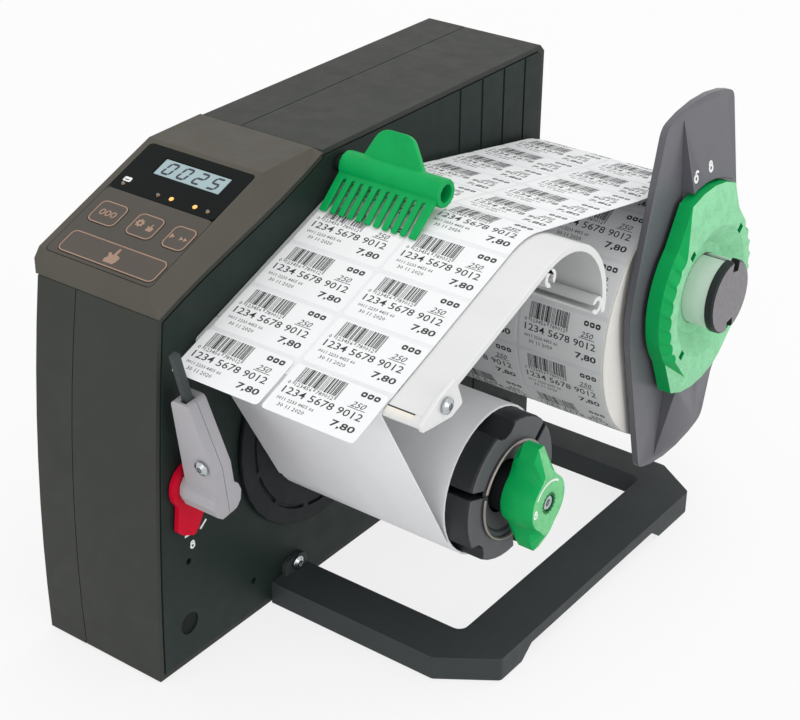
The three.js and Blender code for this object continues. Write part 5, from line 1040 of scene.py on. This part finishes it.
@dataclass
class SupplyReel(Assembly):
    """The roll of labels on its shaft."""

    parts: Parts = (
        Part("supply_shaft", ALUMINIUM, 0.4), Part("shaft_end_cap", DARK, 0.8, 3, clamp=True, face=CAP_PAINTED_LIGHT),
        Part("roll_core", CARDBOARD, 0.3, 1), Part("supply_roll", LABEL_PAPER),
    )
    axis: Point = (287.7, 117.9)
    start: float = 3.2
    end: float = 106.8
    radius: float = 69.2
    lip: float = 0.35
    bore: float = 41.2
    skin: float = 69.3
    shaft_axis: Triple = (0.0, 287.7, 136.6)
    groove_angle: float = 79.0
    groove_half: float = 2.4
    strip_faces: Point = (17.3, 17.6)

    def add_details(self) -> None:
        """Turns the wound roll and its outer layer and lays a dark strip of painted shade in the shaft's groove."""
        start, end, lip, radius = self.start, self.end, self.lip, self.radius
        profile = [
            (start, self.bore), (start, radius - lip), (start + lip, radius), (end - lip, radius), (end, radius - lip),
            (end, self.bore),
        ]
        centre = tuple(TO_ROW @ Vector((0, *self.axis)))
        wound = Finish(
            "wound_labels", "e3e1dc", 0.7, pattern=Pattern.WOUND, grain=2.2, relief=0.02, mottle=0.03,
            centre=centre, gloss=0.3,
        )
        roll = Shape().turned(profile, self.axis, 160).finish("supply_roll_wound", "roll", "paper", wound)
        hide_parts("supply_roll")
        layer = box(start + 0.3, end - 1.3, radius - 0.1, self.skin)
        Shape().turned(layer, self.axis, 160).finish("outer_layer", "roll", "liner", LINER_PAPER)
        # A dark strip along the shaft's groove: painted shade of the slot's inside.
        corners = box(*self.strip_faces, -self.groove_half, self.groove_half)
        strip = Shape().prism(corners, end + 1, node_range("supply_shaft", 0)[1] - 0.3)
        strip.moved(Matrix.Translation(self.shaft_axis) @ turn(self.groove_angle, "X") @ SIDE)
        strip.finish("shaft_groove_painted_shade", "machine", "dark", DARK)


@dataclass
class GuideFlange(Assembly):
    """The paddle that guides the roll's side, with its clamping ring."""

    parts: Parts = (
        Part("flange_paddle", FLANGE, 0.8, 3, 22, True), Part("clamp_ring", GREEN, 0.8, 3, 26, True, GREEN_PAINTED_LIGHT, 0.2),
    )
    locks: tuple[Padlock, ...] = (Padlock((293.0, 201.7), 4.6), Padlock((277.2, 201.0), 4.6, opened=True))

    def add_details(self) -> None:
        """Prints the closed and the open padlock."""
        shape = Shape()
        for lock in self.locks:
            lock.add_to(shape)
        shape.draped("flange_paddle").finish("flange_marks", "flange", "flange", WHITE_MARK)


@dataclass
class FootFrame(Assembly):
    """The foot frame with its screws and the rubber feet."""

    parts: Parts = (
        Part("foot_frame", FOOT_PAINT, 1.3, 3, 28, True),
        Part("foot_screw_front foot_screw_rear", STEEL, 0.3, clamp=True),
        Part("rubber_foot_1 rubber_foot_2 rubber_foot_3 rubber_foot_4", RUBBER, 0.4),
    )


@dataclass
class LabelComb(Assembly):
    """The green comb over the arch, on its rod."""

    parts: Parts = (Part("comb", GREEN, 0.7, 3, clamp=True), Part("comb_rod", PLATE_PAINT, 0.5))


@dataclass
class LabelSensor(Assembly):
    """The arm with the feeler that waits for a label, and its clamping lever."""

    parts: Parts = (
        Part("sensor_arm_front sensor_arm_rear", GREY, 1.1, 3, 28, True),
        Part("sensor_arm_screw", STEEL, 0.3, clamp=True), Part("sensor_feeler", FEELER, 0.5, clamp=True),
        Part("sensor_clamp_lever", RED, 0.8, 3, clamp=True), Part("sensor_pivot_bolt", STEEL, 0.4),
    )


@dataclass
class Studio:
    """The camera at the photograph's angle, soft lights and a pale floor."""

    azimuth: float = 36.3866
    elevation: float = 28.9438
    roll: float = 0.5428
    place: Triple = (491.75, -477.93, 553.82)
    focal_pixels: float = 1782.863
    image_width: float = 800.0
    sensor: float = 36.0
    clip: Point = (0.01, 50.0)
    world_light: float = 0.92
    lamps: tuple[tuple[str, Triple, float, float], ...] = (
        ("top_lamp", (0.2, 0.7, 2.2), 1.5, 9.0), ("front_lamp", (0.3, -2.1, 0.45), 1.2, 7.0),
        ("side_lamp", (2.0, -0.2, 0.6), 1.0, 7.0),
    )
    aim: Triple = (0.0, 0.0, 0.1)
    floor_size: float = 12.0
    floor_drop: float = 0.0002
    floor_colour: tuple[float, ...] = (0.82, 0.82, 0.82, 1.0)
    floor_shine: float = 0.8

    def build(self) -> None:
        """Makes the camera, the world, the lamps and the floor."""
        self._camera()
        self._world()
        self._lamps()
        self._floor()

    def _camera(self) -> None:
        """Places the camera."""
        data = bpy.data.cameras.new("camera")
        data.sensor_width = self.sensor
        data.lens = self.focal_pixels / self.image_width * self.sensor
        data.clip_start, data.clip_end = self.clip
        camera = add_object("camera", data)
        place = Matrix.Translation(TO_ROW @ Vector(self.place))
        camera.matrix_world = place @ turn(self.azimuth, "Z") @ turn(90 - self.elevation, "X") @ turn(self.roll, "Z")
        bpy.context.scene.camera = camera

    def _show_white(self, tree: NodeTree, plain: NodeSocket, kind: str, share: float) -> None:
        """Shows white, as far as a share, to camera, glossy and transmission rays.

        Args:
            tree: The nodes of the world or of the floor.
            plain: The shader for all other rays.
            kind: The white shader's type.
            share: How much of it they see.
        """
        seen = add_node(tree, "LightPath", {}, "Is Camera Ray")
        for name in ("Is Glossy Ray", "Is Transmission Ray"):
            ray = add_node(tree, "LightPath", {}, name)
            seen = add_node(tree, "Math", {0: seen, 1: ray}, "Value", operation="MAXIMUM")
        share = add_node(tree, "Math", {0: seen, 1: share}, "Value", operation="MULTIPLY")
        white = add_node(tree, kind, {"Color": WHITE}, kind)
        mix = add_node(tree, "MixShader", {"Fac": share, 1: plain, 2: white}, "Shader")
        set_inputs(next(node for node in tree.nodes if "Output" in node.name), {"Surface": mix})

    def _world(self) -> None:
        """Lights the scene softly all round and shows white behind it."""
        world = bpy.data.worlds.new("studio")
        bpy.context.scene.world = world
        world.use_nodes = True
        soft = world.node_tree.nodes["Background"]
        set_inputs(soft, {"Color": WHITE, "Strength": self.world_light})
        self._show_white(world.node_tree, soft.outputs[0], "Background", 1.0)

    def _lamps(self) -> None:
        """Hangs a large soft lamp over the machine and weaker ones before it and beside it."""
        for name, place, size, power in self.lamps:
            data = bpy.data.lights.new(name, "AREA")
            data.size, data.energy = size, power
            way = Vector(self.aim) - Vector(place)
            turned = way.to_track_quat("-Z", "Y").to_matrix().to_4x4()
            add_object(name, data).matrix_world = Matrix.Translation(place) @ turned

    def _floor(self) -> None:
        """Lays a white floor that keeps a faint shadow."""
        shape = Shape()
        bmesh.ops.create_grid(shape.mesh, x_segments=1, y_segments=1, size=self.floor_size / 2)
        shape.moved(Matrix.Translation((0, 0, -self.floor_drop)))
        floor = add_object("floor", shape.data("floor"))
        material = bpy.data.materials.new("floor_white")
        material.use_nodes = True
        shader = material.node_tree.nodes["Principled BSDF"]
        set_inputs(shader, {"Base Color": self.floor_colour, "Roughness": 0.9})
        self._show_white(material.node_tree, shader.outputs[0], "Emission", self.floor_shine)
        floor.data.materials.append(material)


def main() -> None:
    """Builds the studio and every sub-assembly in order."""
    logging.basicConfig(level=logging.INFO)
    bpy.context.scene.view_settings.view_transform = "Standard"
    Studio().build()
    assemblies = (
        Housing(), ControlPanel(), Rewinder(), DispensingTable(), LabelTape(), SupplyReel(), GuideFlange(),
        FootFrame(), LabelComb(), LabelSensor(),
    )
    for assembly in assemblies:
        log.info("building %s", type(assembly).__name__)
        assembly.build()


if __name__ == "__main__":
    main()
